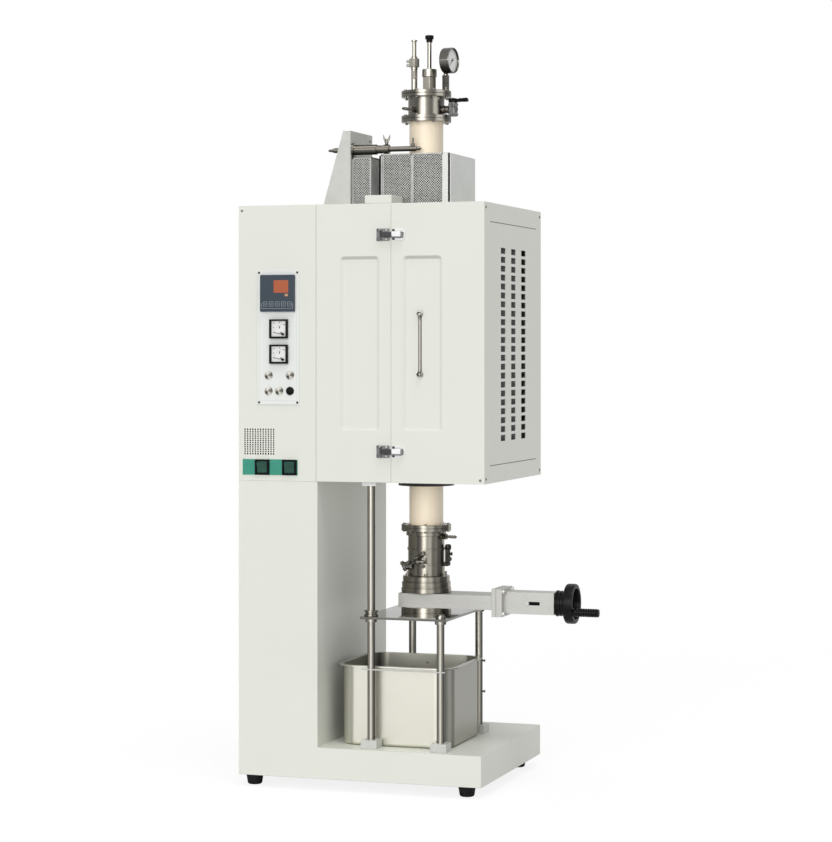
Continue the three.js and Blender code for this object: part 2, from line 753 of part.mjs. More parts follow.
piece(
  "cage_right",
  cut(
    openBox(cageSeamRight, cageRight, cageFront, cageRear, cageHeight, [cageSeamRight - overrun, cageRight - cageSheet]),
    cageNotch,
  ),
  perforatedSteel,
);
piece(
  "terminal_guard",
  openBox(guardLeft, guardRight, guardFront, guardRear, guardHeight, [guardLeft + cageSheet, guardRight - cageSheet]),
  perforatedSteel,
);

// Arm bracket: an upright plate with one gusset in front, a base flange and a stepped sleeve with a clamp collar
const bracketX = 267;
const bracketPlate = 6;
const bracketFront = 125;
const bracketDepth = 173;
const bracketHeight = 201;
const gussetThickness = 4;
const gussetFoot = 78;
const gussetHead = 21;
const bracketFlange = 44;
const bracketFlangeThickness = 4;
const armY = 147;
const armDrop = 50;
const armRadius = 7;
const sleeveFlangeRadius = 18.5;
const sleeveFlangeThickness = 4;
const sleeveRadius = 13.2;
const sleeveLength = 67;
const sleeveNoseRadius = 10.5;
const sleeveNoseLength = 19;
const clampRadius = 12.2;
const clampLength = 15;
const clampScrewRadius = 3;
const armZ = housingTop + bracketHeight - armDrop;
const gussetOutline = outline([
  [bracketX - gussetFoot, housingTop],
  [bracketX, housingTop],
  [bracketX, housingTop + bracketHeight],
  [bracketX - gussetHead, housingTop + bracketHeight],
]);
const gusset = raise(gussetOutline, 0, gussetThickness).rotate(90, 0, 0).translate(0, bracketFront + gussetThickness, 0);
const sleeveEnd = bracketX + sleeveLength;
const noseEnd = sleeveEnd + sleeveNoseLength;
const clampEnd = noseEnd + clampLength;
const clampX = noseEnd + clampLength / 2;
piece(
  "arm_bracket",
  cut(
    join(
      gusset,
      block(bracketX - bracketPlate, bracketX, bracketFront, bracketFront + bracketDepth, housingTop, housingTop + bracketHeight),
      block(bracketX - bracketFlange, bracketX, bracketFront, bracketFront + bracketDepth, housingTop, housingTop + bracketFlangeThickness),
      cylinderX(sleeveFlangeRadius, armY, armZ, bracketX - bracketPlate / 2, bracketX + sleeveFlangeThickness),
      cylinderX(sleeveRadius, armY, armZ, bracketX, sleeveEnd),
      cylinderX(sleeveNoseRadius, armY, armZ, sleeveEnd - bracketPlate, noseEnd),
      cylinderX(clampRadius, armY, armZ, noseEnd, clampEnd),
    ),
    cylinderX(armRadius + runGap, armY, armZ, bracketX - bracketPlate - overrun, clampEnd + overrun),
    cylinderZ(clampScrewRadius + seatGap, clampX, armY, armZ, armZ + clampRadius + overrun, 12),
  ),
  brushedSteel,
);

// Sliding arm rod with a stop pin near its pointed tip, and the wing screw that clamps it
const armTail = 196;
const armTip = 458;
const armShoulder = 444;
const armNeckRadius = 4;
const armNeckLength = 5;
const armHeadRadius = 5.5;
const armPinX = 434;
const armPinRadius = 2.6;
const armPinUp = 29;
const armPinDown = 9;
const armPinCollarRadius = 5;
const armPinCollarHeight = 7;
const armTailLength = 12;
const armRodProfile = [
  [0, armTail],
  [armNeckRadius, armTail + armTailLength / 2],
  [armNeckRadius, armTail + armTailLength],
  [armRadius, armTail + armTailLength],
  [armRadius, armShoulder],
  [armNeckRadius, armShoulder],
  [armNeckRadius, armShoulder + armNeckLength],
  [armHeadRadius, armShoulder + armNeckLength],
  [0, armTip],
];
const armRod = revolve(armRodProfile, 16).rotate(0, 90, 0).translate(0, armY, armZ);
piece(
  "arm_rod",
  join(
    armRod,
    cylinderZ(armPinRadius, armPinX, armY, armZ - armPinDown, armZ + armPinUp, 12),
    cylinderZ(armPinCollarRadius, armPinX, armY, armZ, armZ + armRadius + armPinCollarHeight, 12),
  ),
  brushedSteel,
);
const wingHubRadius = 4.5;
const wingHubHeight = 14;
const wingSpan = 9.5;
const wingThickness = 3;
const wingHeight = 26;
const wingRoot = 3;
const wingTipShare = 0.62;
const screwLow = armZ + armRadius + runGap;
const screwShoulder = armZ + clampRadius + runGap;
const wingOutline = outline([
  [-wingRoot, screwShoulder],
  [wingRoot, screwShoulder],
  [wingSpan, screwShoulder + wingHeight * wingTipShare],
  [wingSpan, screwShoulder + wingHeight],
  [wingRoot, screwShoulder + wingHubHeight],
  [-wingRoot, screwShoulder + wingHubHeight],
  [-wingSpan, screwShoulder + wingHeight],
  [-wingSpan, screwShoulder + wingHeight * wingTipShare],
]);
piece(
  "wing_screw",
  join(
    cylinderZ(clampScrewRadius, clampX, armY, screwLow, screwShoulder + wingHubHeight, 12),
    cylinderZ(wingHubRadius, clampX, armY, screwShoulder, screwShoulder + wingHubHeight, 12),
    raise(wingOutline, -wingThickness / 2, wingThickness / 2).rotate(90, 0, 0).translate(clampX, armY, 0),
  ),
  brushedSteel,
);

// Work tube
const tubeProfile = [
  [tubeBoreRadius, tubeBottom],
  [tubeRadius, tubeBottom],
  [tubeRadius, tubeTop],
  [tubeBoreRadius, tubeTop],
];
piece("work_tube", revolve(tubeProfile, 24).translate(tubeX, tubeY, 0), alumina);

// Pipe fittings that stand out of a head: a boss, a hexagon and a ribbed hose tail on a radial line
const fittingBossRadius = 7;
const fittingBossLength = 8;
const fittingHexRadius = 8.5;
const fittingHexLength = 9;
const hoseTailRadius = 3.4;
const hoseBarbRadius = 4.4;
const hoseTailLength = 34;
const hoseBarbLength = 6;
const hoseBoreRadius = 1.8;
function hoseTail(rootRadius, azimuth, z) {
  const bossEnd = rootRadius + fittingBossLength;
  const hexEnd = bossEnd + fittingHexLength;
  const tailEnd = hexEnd + hoseTailLength;
  const fitting = join(
    cylinderX(fittingBossRadius, 0, 0, rootRadius - fittingBossLength / 2, bossEnd, 12),
    cylinderX(fittingHexRadius, 0, 0, bossEnd, hexEnd, 6),
    cylinderX(hoseTailRadius, 0, 0, bossEnd, tailEnd, 12),
    cylinderX(hoseBarbRadius, 0, 0, tailEnd - hoseBarbLength, tailEnd, 12),
  );
  const bore = cylinderX(hoseBoreRadius, 0, 0, hexEnd, tailEnd + overrun, 8);
  return place(cut(fitting, bore), [0, 0, azimuth], tubeX, tubeY, z);
}

// Top head: two flanges that clamp a seal on the tube, a body, and the flange under the lid
const flangeRadius = 66;
const flangeThickness = 8;
const flangeGroove = 1;
const flangeGrooveDepth = 2;
const headBodyRadius = 48;
const headBoreRadius = 41;
const topSocketDepth = 23;
const topHoseAzimuth = -113;
const topHoseDrop = 40;
const valveStubRadius = 8;
const valveStubDrop = 42;
const valveStubLength = 19;
const valveAzimuth = -10;
const topHeadTop = topHeadBottom + topHeadHeight;
const socketRadius = tubeRadius + seatGap;
const clampPair = 2 * flangeThickness + flangeGroove;
const grooveRadius = flangeRadius - flangeGrooveDepth;
const topHeadProfile = [
  [socketRadius, topHeadBottom],
  [flangeRadius, topHeadBottom],
  [flangeRadius, topHeadBottom + flangeThickness],
  [grooveRadius, topHeadBottom + flangeThickness],
  [grooveRadius, topHeadBottom + flangeThickness + flangeGroove],
  [flangeRadius, topHeadBottom + flangeThickness + flangeGroove],
  [flangeRadius, topHeadBottom + clampPair],
  [headBodyRadius, topHeadBottom + clampPair],
  [headBodyRadius, topHeadTop - flangeThickness],
  [flangeRadius, topHeadTop - flangeThickness],
  [flangeRadius, topHeadTop],
  [headBoreRadius, topHeadTop],
  [headBoreRadius, topHeadBottom + topSocketDepth],
  [socketRadius, topHeadBottom + topSocketDepth],
];
const stubZ = topHeadTop - valveStubDrop;
const stubEnd = headBodyRadius + valveStubLength;
function towardsValve(shape) {
  return place(shape, [0, 0, valveAzimuth], tubeX, tubeY, 0);
}
const topHeadBore = cylinderZ(headBoreRadius, tubeX, tubeY, topHeadBottom + topSocketDepth, topHeadTop + overrun, 24);
piece(
  "top_head",
  cut(
    join(
      revolve(topHeadProfile, 24).translate(tubeX, tubeY, 0),
      hoseTail(headBodyRadius, topHoseAzimuth, topHeadTop - topHoseDrop),
      towardsValve(cylinderX(valveStubRadius, 0, stubZ, headBodyRadius - overrun / 2, stubEnd, 16)),
    ),
    topHeadBore,
  ),
  brushedSteel,
);

// Lid with its welded ports: a tube port with a compression nut, and the sliding rod's gland
const lidThickness = 8.4;
const tubePort = [-32, -5];
const rodPort = [4, 14];
const gaugePort = [52.7, 4];
const portTubeRadius = 7.8;
const portTubeHeight = 70;
const portNutRadius = 13.5;
const portNutHeight = 21;
const portNutDrop = 2;
const portPipeRadius = 5.4;
const portPipeHeight = 137;
const portFlareRadius = 7.8;
const portFlareHeight = 4;
const portBoreRadius = 3.5;
const glandNutRadius = 19.5;
const glandNutHeight = 18;
const glandBodyRadius = 18;
const glandHeight = 60;
const sampleRodRadius = 5.5;
const lidBottom = topHeadTop + seatGap;
const lidTop = lidBottom + lidThickness;
const [tubePortX, tubePortY] = [tubeX + tubePort[0], tubeY + tubePort[1]];
const [rodX, rodY] = [tubeX + rodPort[0], tubeY + rodPort[1]];
const [gaugeX, gaugeY] = [tubeX + gaugePort[0], tubeY + gaugePort[1]];
const nutBottom = lidTop + portTubeHeight - portNutDrop;
const glandTop = lidTop + glandHeight;
piece(
  "top_lid",
  cut(
    join(
      cylinderZ(flangeRadius, tubeX, tubeY, lidBottom, lidTop, 24),
      cylinderZ(portTubeRadius, tubePortX, tubePortY, lidTop - lidThickness / 2, lidTop + portTubeHeight, 16),
      cylinderZ(portNutRadius, tubePortX, tubePortY, nutBottom, nutBottom + portNutHeight, 6),
      cylinderZ(portPipeRadius, tubePortX, tubePortY, nutBottom, lidTop + portPipeHeight, 16),
      cylinderZ(portFlareRadius, tubePortX, tubePortY, lidTop + portPipeHeight - portFlareHeight, lidTop + portPipeHeight, 16),
      cylinderZ(glandBodyRadius, rodX, rodY, lidTop - lidThickness / 2, glandTop, 20),
      cylinderZ(glandNutRadius, rodX, rodY, glandTop - glandNutHeight, glandTop, 20),
    ),
    cylinderZ(portBoreRadius, tubePortX, tubePortY, lidBottom - overrun, lidTop + portPipeHeight + overrun, 12),
    cylinderZ(sampleRodRadius + seatGap, rodX, rodY, lidBottom - overrun, glandTop + overrun, 16),
  ),
  brushedSteel,
);

// Sample rod: slides through the gland and hangs in the tube, with a black knob on its top
const sampleRodRise = 72.3;
const sampleRodLength = 731;
const sampleRodThickLength = 361;
const sampleRodSlim = 4.2;
const rodNeckRadius = 8.5;
const rodNeckHeight = 8;
const rodKnobRadius = 11.5;
const rodKnobHeight = 10;
const sampleRodTop = glandTop + sampleRodRise;
const sampleRodStep = sampleRodTop - sampleRodThickLength;
const sampleRodBottom = sampleRodTop - sampleRodLength;
const knobTop = sampleRodTop + rodNeckHeight + rodKnobHeight;
const sampleRodProfile = [
  [0, sampleRodBottom],
  [sampleRodSlim, sampleRodBottom],
  [sampleRodSlim, sampleRodStep],
  [sampleRodRadius, sampleRodStep],
  [sampleRodRadius, sampleRodTop],
  [rodNeckRadius, sampleRodTop],
  [rodNeckRadius, sampleRodTop + rodNeckHeight],
  [rodKnobRadius, sampleRodTop + rodNeckHeight],
  [rodKnobRadius, knobTop],
  [0, knobTop],
];
piece("sample_rod", revolve(sampleRodProfile, 16).translate(rodX, rodY, 0), brushedSteel);

// Pressure gauge on its stem, facing right, with a pivot post for the needle
const gaugeRadius = 34.2;
const gaugeDepth = 28;
const gaugeForward = 9.5;
const gaugeRim = 3.5;
const gaugeDialSink = 6;
const gaugeRise = 79.8;
const gaugeStemRadius = 5;
const gaugeHexRadius = 9.5;
const gaugeHexLow = 22;
const gaugeHexHeight = 20;
const gaugeSocketRadius = 8;
const gaugeTurn = -9;
const gaugePostRadius = 1.6;
const gaugePostHeight = 3;
const gaugeNeedleHub = 3.2;
const gaugeNeedleLength = 24;
const gaugeNeedleTail = 8;
const gaugeNeedleWidth = 1.6;
const gaugeNeedleThickness = 1;
const gaugeNeedleRest = 130;
const gaugeCentreZ = lidTop + gaugeRise;
const gaugeBack = -(gaugeDepth / 2) + gaugeForward;
const dialLevel = gaugeBack + gaugeDepth - gaugeDialSink;
const gaugeCase = join(
  cut(
    cylinderX(gaugeRadius, 0, 0, gaugeBack, gaugeBack + gaugeDepth, 24),
    cylinderX(gaugeRadius - gaugeRim, 0, 0, dialLevel, gaugeBack + gaugeDepth + overrun, 24),
  ),
  cylinderX(gaugePostRadius, 0, 0, 0, dialLevel + gaugePostHeight, 12),
);
const gaugeStemLow = lidTop + seatGap;
piece(
  "pressure_gauge",
  join(
    place(gaugeCase, [0, 0, gaugeTurn], gaugeX, gaugeY, gaugeCentreZ),
    cylinderZ(gaugeSocketRadius, gaugeX, gaugeY, gaugeStemLow, gaugeStemLow + gaugeHexLow, 16),
    cylinderZ(gaugeHexRadius, gaugeX, gaugeY, gaugeStemLow + gaugeHexLow, gaugeStemLow + gaugeHexLow + gaugeHexHeight, 6),
    cylinderZ(gaugeStemRadius, gaugeX, gaugeY, gaugeStemLow + gaugeHexLow, gaugeCentreZ - gaugeRadius / 2, 12),
  ),
  brushedSteel,
);
const needleLevel = dialLevel + runGap;
const gaugeNeedle = cut(
  join(
    cylinderX(gaugeNeedleHub, 0, 0, needleLevel, needleLevel + gaugePostHeight, 12),
    block(needleLevel, needleLevel + gaugeNeedleThickness, -gaugeNeedleWidth / 2, gaugeNeedleWidth / 2, -gaugeNeedleTail, gaugeNeedleLength),
  ),
  cylinderX(gaugePostRadius + seatGap, 0, 0, needleLevel - overrun, needleLevel + gaugePostHeight + overrun, 12),
);
piece(
  "gauge_needle",
  place(gaugeNeedle.rotate(gaugeNeedleRest, 0, 0), [0, 0, gaugeTurn], gaugeX, gaugeY, gaugeCentreZ),
  blackPlastic,
);

// Ball valve on the head's stub, with a lever on its spindle
const ballBodyWidth = 22;
const ballBodyHigh = 18;
const ballBodyLow = 23;
const ballOutletRadius = 8;
const ballOutletLength = 3;
const ballLeverHubRadius = 11;
const ballLeverHubHeight = 10;
const ballLeverLength = 44;
const ballLeverHalfWidth = 6.5;
const ballLeverThickness = 8;
const ballSpindleRadius = 3;
const ballX = stubEnd + seatGap + ballBodyWidth / 2;
const ballTop = stubZ + ballBodyHigh;
const spindleTop = ballTop + ballLeverHubHeight + runGap;
piece(
  "ball_valve_body",
  towardsValve(join(
    block(
      ballX - ballBodyWidth / 2, ballX + ballBodyWidth / 2, -ballBodyWidth / 2, ballBodyWidth / 2,
      stubZ - ballBodyLow, ballTop,
    ),
    cylinderX(ballOutletRadius, 0, stubZ, ballX, ballX + ballBodyWidth / 2 + ballOutletLength, 16),
    cylinderZ(ballSpindleRadius, ballX, 0, stubZ, spindleTop, 12),
  )),
  brushedSteel,
);
const leverLow = ballTop + runGap;
piece(
  "ball_valve_lever",
  towardsValve(cut(
    join(
      cylinderZ(ballLeverHubRadius, ballX, 0, leverLow, leverLow + ballLeverHubHeight, 20),
      block(
        ballX, ballX + ballLeverLength, -ballLeverHalfWidth, ballLeverHalfWidth,
        leverLow, leverLow + ballLeverThickness,
      ),
    ),
    cylinderZ(
      ballSpindleRadius + seatGap, ballX, 0,
      leverLow - overrun, leverLow + ballLeverHubHeight + overrun, 12,
    ),
  )),
  blackPlastic,
);

// Bottom head: a turned stack from the tube's clamp flanges down to the valve's flange, with two toggle brackets
const bottomHeadLap = 33;
const bottomSocketDepth = 35;
const stackFlange = 13;
const stackGroove = 2.5;
const stackMiddleRadius = 64.5;
const stackTopRadius = 62;
const neckCollarRadius = 53;
const neckCollarHeight = 9;
const lowerBodyRadius = 49;
const bandRadius = 51.5;
const bandHeight = 5;
const bandUpperDrop = 67;
const bandLowerDrop = 107;
const bottomHoseAzimuth = -15;
const bottomHoseDrop = 34;
const bottomHeadTop = tubeBottom + bottomHeadLap;
const bandUpperZ = bottomHeadTop - bandUpperDrop;
const bandLowerZ = bottomHeadTop - bandLowerDrop;
const valveTop = supportPlateTop + plateSpacing + valveThickness;
const headSeat = valveTop + seatGap;
const stackFirst = headSeat + stackFlange;
const stackSecond = stackFirst + stackGroove + stackFlange;
const stackThird = stackSecond + stackGroove + stackFlange;
const stackGrooveRadius = stackTopRadius - flangeGrooveDepth;
const bottomHeadProfile = [
  [headBoreRadius, headSeat],
  [flangeRadius, headSeat],
  [flangeRadius, stackFirst],
  [grooveRadius, stackFirst],
  [grooveRadius, stackFirst + stackGroove],
  [stackMiddleRadius, stackFirst + stackGroove],
  [stackMiddleRadius, stackSecond],
  [stackGrooveRadius, stackSecond],
  [stackGrooveRadius, stackSecond + stackGroove],
  [stackTopRadius, stackSecond + stackGroove],
  [stackTopRadius, stackThird],
  [lowerBodyRadius, stackThird],
  [lowerBodyRadius, bandLowerZ],
  [bandRadius, bandLowerZ],
  [bandRadius, bandLowerZ + bandHeight],
  [headBodyRadius, bandLowerZ + bandHeight],
  [headBodyRadius, bandUpperZ],
  [bandRadius - flangeGroove, bandUpperZ],
  [bandRadius - flangeGroove, bandUpperZ + bandHeight],
  [headBodyRadius, bandUpperZ + bandHeight],
  [headBodyRadius, bottomHeadTop - clampPair - neckCollarHeight],
  [neckCollarRadius, bottomHeadTop - clampPair - neckCollarHeight],
  [neckCollarRadius, bottomHeadTop - clampPair],
  [flangeRadius, bottomHeadTop - clampPair],
  [flangeRadius, bottomHeadTop - clampPair + flangeThickness],
  [grooveRadius, bottomHeadTop - clampPair + flangeThickness],
  [grooveRadius, bottomHeadTop - flangeThickness],
  [flangeRadius, bottomHeadTop - flangeThickness],
  [flangeRadius, bottomHeadTop],
  [socketRadius, bottomHeadTop],
  [socketRadius, bottomHeadTop - bottomSocketDepth],
  [headBoreRadius, bottomHeadTop - bottomSocketDepth],
];

// Toggles: each has a two-eared bracket on the head and a lever that swings out on the bracket's pin
const toggleReach = 10;
const toggleEarThickness = 3;
const togglePinRadius = 2.2;
const toggleKnuckleRadius = 5;
const toggleHalfWidth = 6;
const toggleArmThickness = 4;
const toggleGripRadius = 4;
const frontToggleShift = 34;
const frontToggleDrop = 109;
const frontToggleLength = 74;
const rightToggleDrop = 105;
const rightToggleLength = 50;
const toggles = [
  {
    name: "toggle_front", azimuth: -104, along: -frontToggleShift,
    z: bottomHeadTop - frontToggleDrop, lean: -61, length: frontToggleLength,
  },
  { name: "toggle_right", azimuth: 5, along: 0, z: bottomHeadTop - rightToggleDrop, lean: 0, length: rightToggleLength },
];
const toggleAxis = headBodyRadius + toggleReach;
function toggleBracket() {
  const earIn = toggleHalfWidth + runGap;
  const earOut = earIn + toggleEarThickness;
  const ears = [[-earOut, -earIn], [earIn, earOut]].map(([y0, y1]) => join(
    cylinderY(toggleKnuckleRadius, toggleAxis, 0, y0, y1, 12),
    block(headBoreRadius / 2, toggleAxis, y0, y1, -toggleKnuckleRadius, toggleKnuckleRadius),
  ));
  return join(...ears, cylinderY(togglePinRadius, toggleAxis, 0, -earIn - toggleEarThickness / 2, earIn + toggleEarThickness / 2, 12));
}
function toggleLever(length) {
  return cut(
    join(
      cylinderY(toggleKnuckleRadius, toggleAxis, 0, -toggleHalfWidth, toggleHalfWidth, 12),
      block(toggleAxis, toggleAxis + toggleArmThickness, -toggleHalfWidth, toggleHalfWidth, 0, length),
      cylinderY(toggleGripRadius, toggleAxis + toggleArmThickness, length, -toggleHalfWidth, toggleHalfWidth, 12),
    ),
    cylinderY(togglePinRadius + seatGap, toggleAxis, 0, -toggleHalfWidth - overrun, toggleHalfWidth + overrun, 12),
  );
}
// Leans a shape sideways on its pivot, shifts it along the head's wall and turns it round the head
function onHead(shape, { azimuth, along, z, lean }) {
  const leaned = shape.translate(-toggleAxis, 0, 0).rotate(lean, 0, 0).translate(toggleAxis, along, 0);
  return place(leaned, [0, 0, azimuth], tubeX, tubeY, z);
}
const brackets = toggles.map((toggle) => onHead(toggleBracket(), toggle));
const bottomSocket = cylinderZ(socketRadius, tubeX, tubeY, bottomHeadTop - bottomSocketDepth, bottomHeadTop + overrun, 24);
const bottomBore = cylinderZ(headBoreRadius, tubeX, tubeY, headSeat - overrun, bottomHeadTop - bottomSocketDepth, 24);
piece(
  "bottom_head",
  cut(
    join(
      revolve(bottomHeadProfile, 24).translate(tubeX, tubeY, 0),
      hoseTail(headBodyRadius, bottomHoseAzimuth, bottomHeadTop - bottomHoseDrop),
      ...brackets,
    ),
    bottomBore,
    bottomSocket,
  ),
  brushedSteel,
);
for (const toggle of toggles) {
  piece(toggle.name, onHead(toggleLever(toggle.length), toggle), brushedSteel);
}

// Gate valve: a flat body with a slot for the gate, a round port through it and a foot ring on the support plate
const valveLeft = 388;
const valveRight = 644;
const valveHalfWidth = 50;
const portRadius = 35;
const gateThickness = 6;
const gateHalfWidth = 40;
const gateHalfLength = 42;
const gateTravel = 85;
const gateGap = 0.5;
const valveRingRadius = 66;
const valveBottom = supportPlateTop + plateSpacing;
const valveMiddle = valveBottom + valveThickness / 2;
const gateX = tubeX;
const slotHalf = gateThickness / 2 + gateGap;
piece(
  "gate_valve_body",
  cut(
    join(
      block(valveLeft, valveRight, tubeY - valveHalfWidth, tubeY + valveHalfWidth, valveBottom, valveTop),
      cylinderZ(valveRingRadius, tubeX, tubeY, supportPlateTop + seatGap, valveBottom, 32),
    ),
    cylinderZ(portRadius, tubeX, tubeY, supportPlateTop - overrun, valveTop + overrun, 32),
    block(
      gateX - gateHalfLength - gateGap, valveRight + overrun, tubeY - gateHalfWidth - gateGap, tubeY + gateHalfWidth + gateGap,
      valveMiddle - slotHalf, valveMiddle + slotHalf,
    ),
  ),
  brushedSteel,
);

// Gate with its flat stem, which reaches into the drive box
const stemHalfWidth = 12;
const stemEnd = 690;
piece(
  "gate_plate",
  join(
    block(
      gateX - gateHalfLength, gateX + gateHalfLength, tubeY - gateHalfWidth, tubeY + gateHalfWidth,
      valveMiddle - gateThickness / 2, valveMiddle + gateThickness / 2,
    ),
    block(
      gateX + gateHalfLength - overrun, stemEnd, tubeY - stemHalfWidth, tubeY + stemHalfWidth,
      valveMiddle - gateThickness / 2, valveMiddle + gateThickness / 2,
    ),
  ),
  brushedSteel,
);

// Drive housing: bonnet flanges and a hollow square box with a slot in its front
const bonnetLength = 28;
const bonnetHalfHeight = 36.5;
const driveLength = 135;
const driveHalfWidth = 30;
const driveHalfHeight = 28.5;
const driveWall = 4;
const driveSlotLeft = 60;
const driveSlotLength = 37;
const driveSlotHeight = 9;
const driveShaftRadius = 6;
const driveEnd = valveRight + bonnetLength + driveLength;
const driveLeft = valveRight + seatGap;
const driveInside = block(
  driveLeft + bonnetLength, driveEnd - driveWall, tubeY - driveHalfWidth + driveWall, tubeY + driveHalfWidth - driveWall,
  valveMiddle - driveHalfHeight + driveWall, valveMiddle + driveHalfHeight - driveWall,
);
const driveSlotX = valveRight + bonnetLength + driveSlotLeft;
piece(
  "valve_drive_housing",
  cut(
    join(
      block(driveLeft, valveRight + bonnetLength, tubeY - valveHalfWidth, tubeY + valveHalfWidth, valveMiddle - bonnetHalfHeight, valveMiddle + bonnetHalfHeight),
      block(driveLeft, driveEnd, tubeY - driveHalfWidth, tubeY + driveHalfWidth, valveMiddle - driveHalfHeight, valveMiddle + driveHalfHeight),
    ),
    driveInside,
    block(
      driveLeft - overrun, driveLeft + bonnetLength + overrun,
      tubeY - stemHalfWidth - gateGap, tubeY + stemHalfWidth + gateGap,
      valveMiddle - slotHalf, valveMiddle + slotHalf,
    ),
    block(
      driveSlotX, driveSlotX + driveSlotLength, tubeY - driveHalfWidth - overrun, tubeY - driveHalfWidth + driveWall + overrun,
      valveMiddle - driveSlotHeight / 2, valveMiddle + driveSlotHeight / 2,
    ),
    cylinderX(driveShaftRadius + seatGap, tubeY, valveMiddle, driveEnd - driveWall - overrun, driveEnd + overrun, 16),
  ),
  brushedSteel,
);

// Handwheel: a dished wheel on a collar, with its shaft's end in the drive box and a boss for the crank handle
const wheelRadius = 52;
const wheelRimRadius = 40;
const wheelRimDepth = 26;
const wheelWeb = 9;
const wheelCollarRadius = 34;
const wheelCollarLength = 27;
const wheelCollarStep = 3;
const wheelHubRadius = 12;
const crankOffset = [-35.5, -18.5];
const crankBossRadius = 11.5;
const crankRadius = 11;
const crankLength = 69;
const crankPinRadius = 4;
const crankPinLength = 40;
const crankRound = 3;
const wheelStart = driveEnd + runGap;
const wheelBack = driveEnd + wheelCollarLength;
const wheelFace = wheelBack + wheelRimDepth;
const shaftStart = driveEnd - driveWall - overrun;
const wheelProfile = [
  [0, shaftStart],
  [driveShaftRadius, shaftStart],
  [driveShaftRadius, wheelStart],
  [wheelCollarRadius, wheelStart],
  [wheelCollarRadius, wheelStart + wheelCollarStep * 2],
  [wheelCollarRadius - wheelCollarStep, wheelStart + wheelCollarStep * 3],
  [wheelCollarRadius - wheelCollarStep, wheelBack],
  [wheelRadius - wheelCollarStep, wheelBack],
  [wheelRadius, wheelBack + wheelCollarStep],
  [wheelRadius, wheelFace - wheelCollarStep],
  [wheelRadius - wheelCollarStep, wheelFace],
  [wheelRimRadius, wheelFace],
  [wheelRimRadius - wheelCollarStep, wheelBack + wheelWeb],
  [wheelHubRadius, wheelBack + wheelWeb],
  [wheelHubRadius, wheelBack + wheelWeb + wheelCollarStep],
  [0, wheelBack + wheelWeb + wheelCollarStep],
];
const crankY = tubeY + crankOffset[0];
const crankZ = valveMiddle + crankOffset[1];
const crankStart = wheelFace + runGap;
piece(
  "handwheel",
  join(
    revolve(wheelProfile, 24).rotate(0, 90, 0).translate(0, tubeY, valveMiddle),
    cylinderX(crankBossRadius, crankY, crankZ, wheelBack + wheelWeb / 2, wheelFace, 16),
    cylinderX(crankPinRadius, crankY, crankZ, wheelFace - overrun, crankStart + crankPinLength, 12),
  ),
  blackPlastic,
);
const crankProfile = [
  [crankPinRadius + seatGap, crankStart],
  [crankRadius - crankRound, crankStart],
  [crankRadius, crankStart + crankRound],
  [crankRadius, crankStart + crankLength - crankRound],
  [crankRadius - crankRound, crankStart + crankLength],
  [0, crankStart + crankLength],
  [0, crankStart + crankPinLength + runGap],
  [crankPinRadius + seatGap, crankStart + crankPinLength + runGap],
];
piece("crank_handle", revolve(crankProfile, 20).rotate(0, 90, 0).translate(0, crankY, crankZ), blackPlastic);

// Support plate on four rods
const plateLeft = 331;
const plateRight = 566;
const plateFront = 20;
const plateRear = 402;
const plateThickness = 6;
const rodRadius = 10;
const rodLeftX = 354.5;
const rodRightX = 543.5;
const rodFrontY = 42;
const rodRearY = 380;
const rodBlockHalf = 22;
const rodBlockHeight = 22;
const rodCollarRadius = 15;
const rodCollarHeight = 9;
const rodNutRadius = 13;
const rodNutHeight = 11;
const tallNutRadius = 18;
const tallNutHeight = 15;
const capHalfWidth = 19;
const capHeight = 10;
const plateBottom = supportPlateTop - plateThickness;
const rods = [
  ["front_left", rodLeftX, rodFrontY],
  ["front_right", rodRightX, rodFrontY],
  ["rear_left", rodLeftX, rodRearY],
  ["rear_right", rodRightX, rodRearY],
];
piece(
  "support_plate",
  cut(
    block(plateLeft, plateRight, plateFront, plateRear, plateBottom, supportPlateTop),
    cylinderZ(tubeBoreRadius, tubeX, tubeY, plateBottom - overrun, supportPlateTop + overrun, 32),
    ...rods.map(([, x, y]) => cylinderZ(rodRadius + seatGap, x, y, plateBottom - overrun, supportPlateTop + overrun, 16)),
  ),
  brushedSteel,
);
for (const [where, x, y] of rods) {
  const reachesHousing = where === "front_left";
  const nutRadius = reachesHousing ? tallNutRadius : rodNutRadius;
  const nutTop = supportPlateTop + seatGap + (reachesHousing ? tallNutHeight : rodNutHeight);
  const rodTop = reachesHousing ? housingBottom - seatGap : nutTop;
  let rod = join(
    block(x - rodBlockHalf, x + rodBlockHalf, y - rodBlockHalf, y + rodBlockHalf, plinthTop, plinthTop + rodBlockHeight),
    cylinderZ(rodRadius, x, y, plinthTop + rodBlockHeight / 2, rodTop, 16),
    cylinderZ(rodCollarRadius, x, y, plateBottom - seatGap - rodCollarHeight, plateBottom - seatGap, 16),
    cylinderZ(nutRadius, x, y, supportPlateTop + seatGap, nutTop, 6),
  );
  if (reachesHousing) {
    rod = join(rod, block(x - capHalfWidth, x + capHalfWidth, y - capHalfWidth, y + capHalfWidth, rodTop - capHeight, rodTop));
  }
  piece(`support_rod_${where}`, rod, brushedSteel);
}

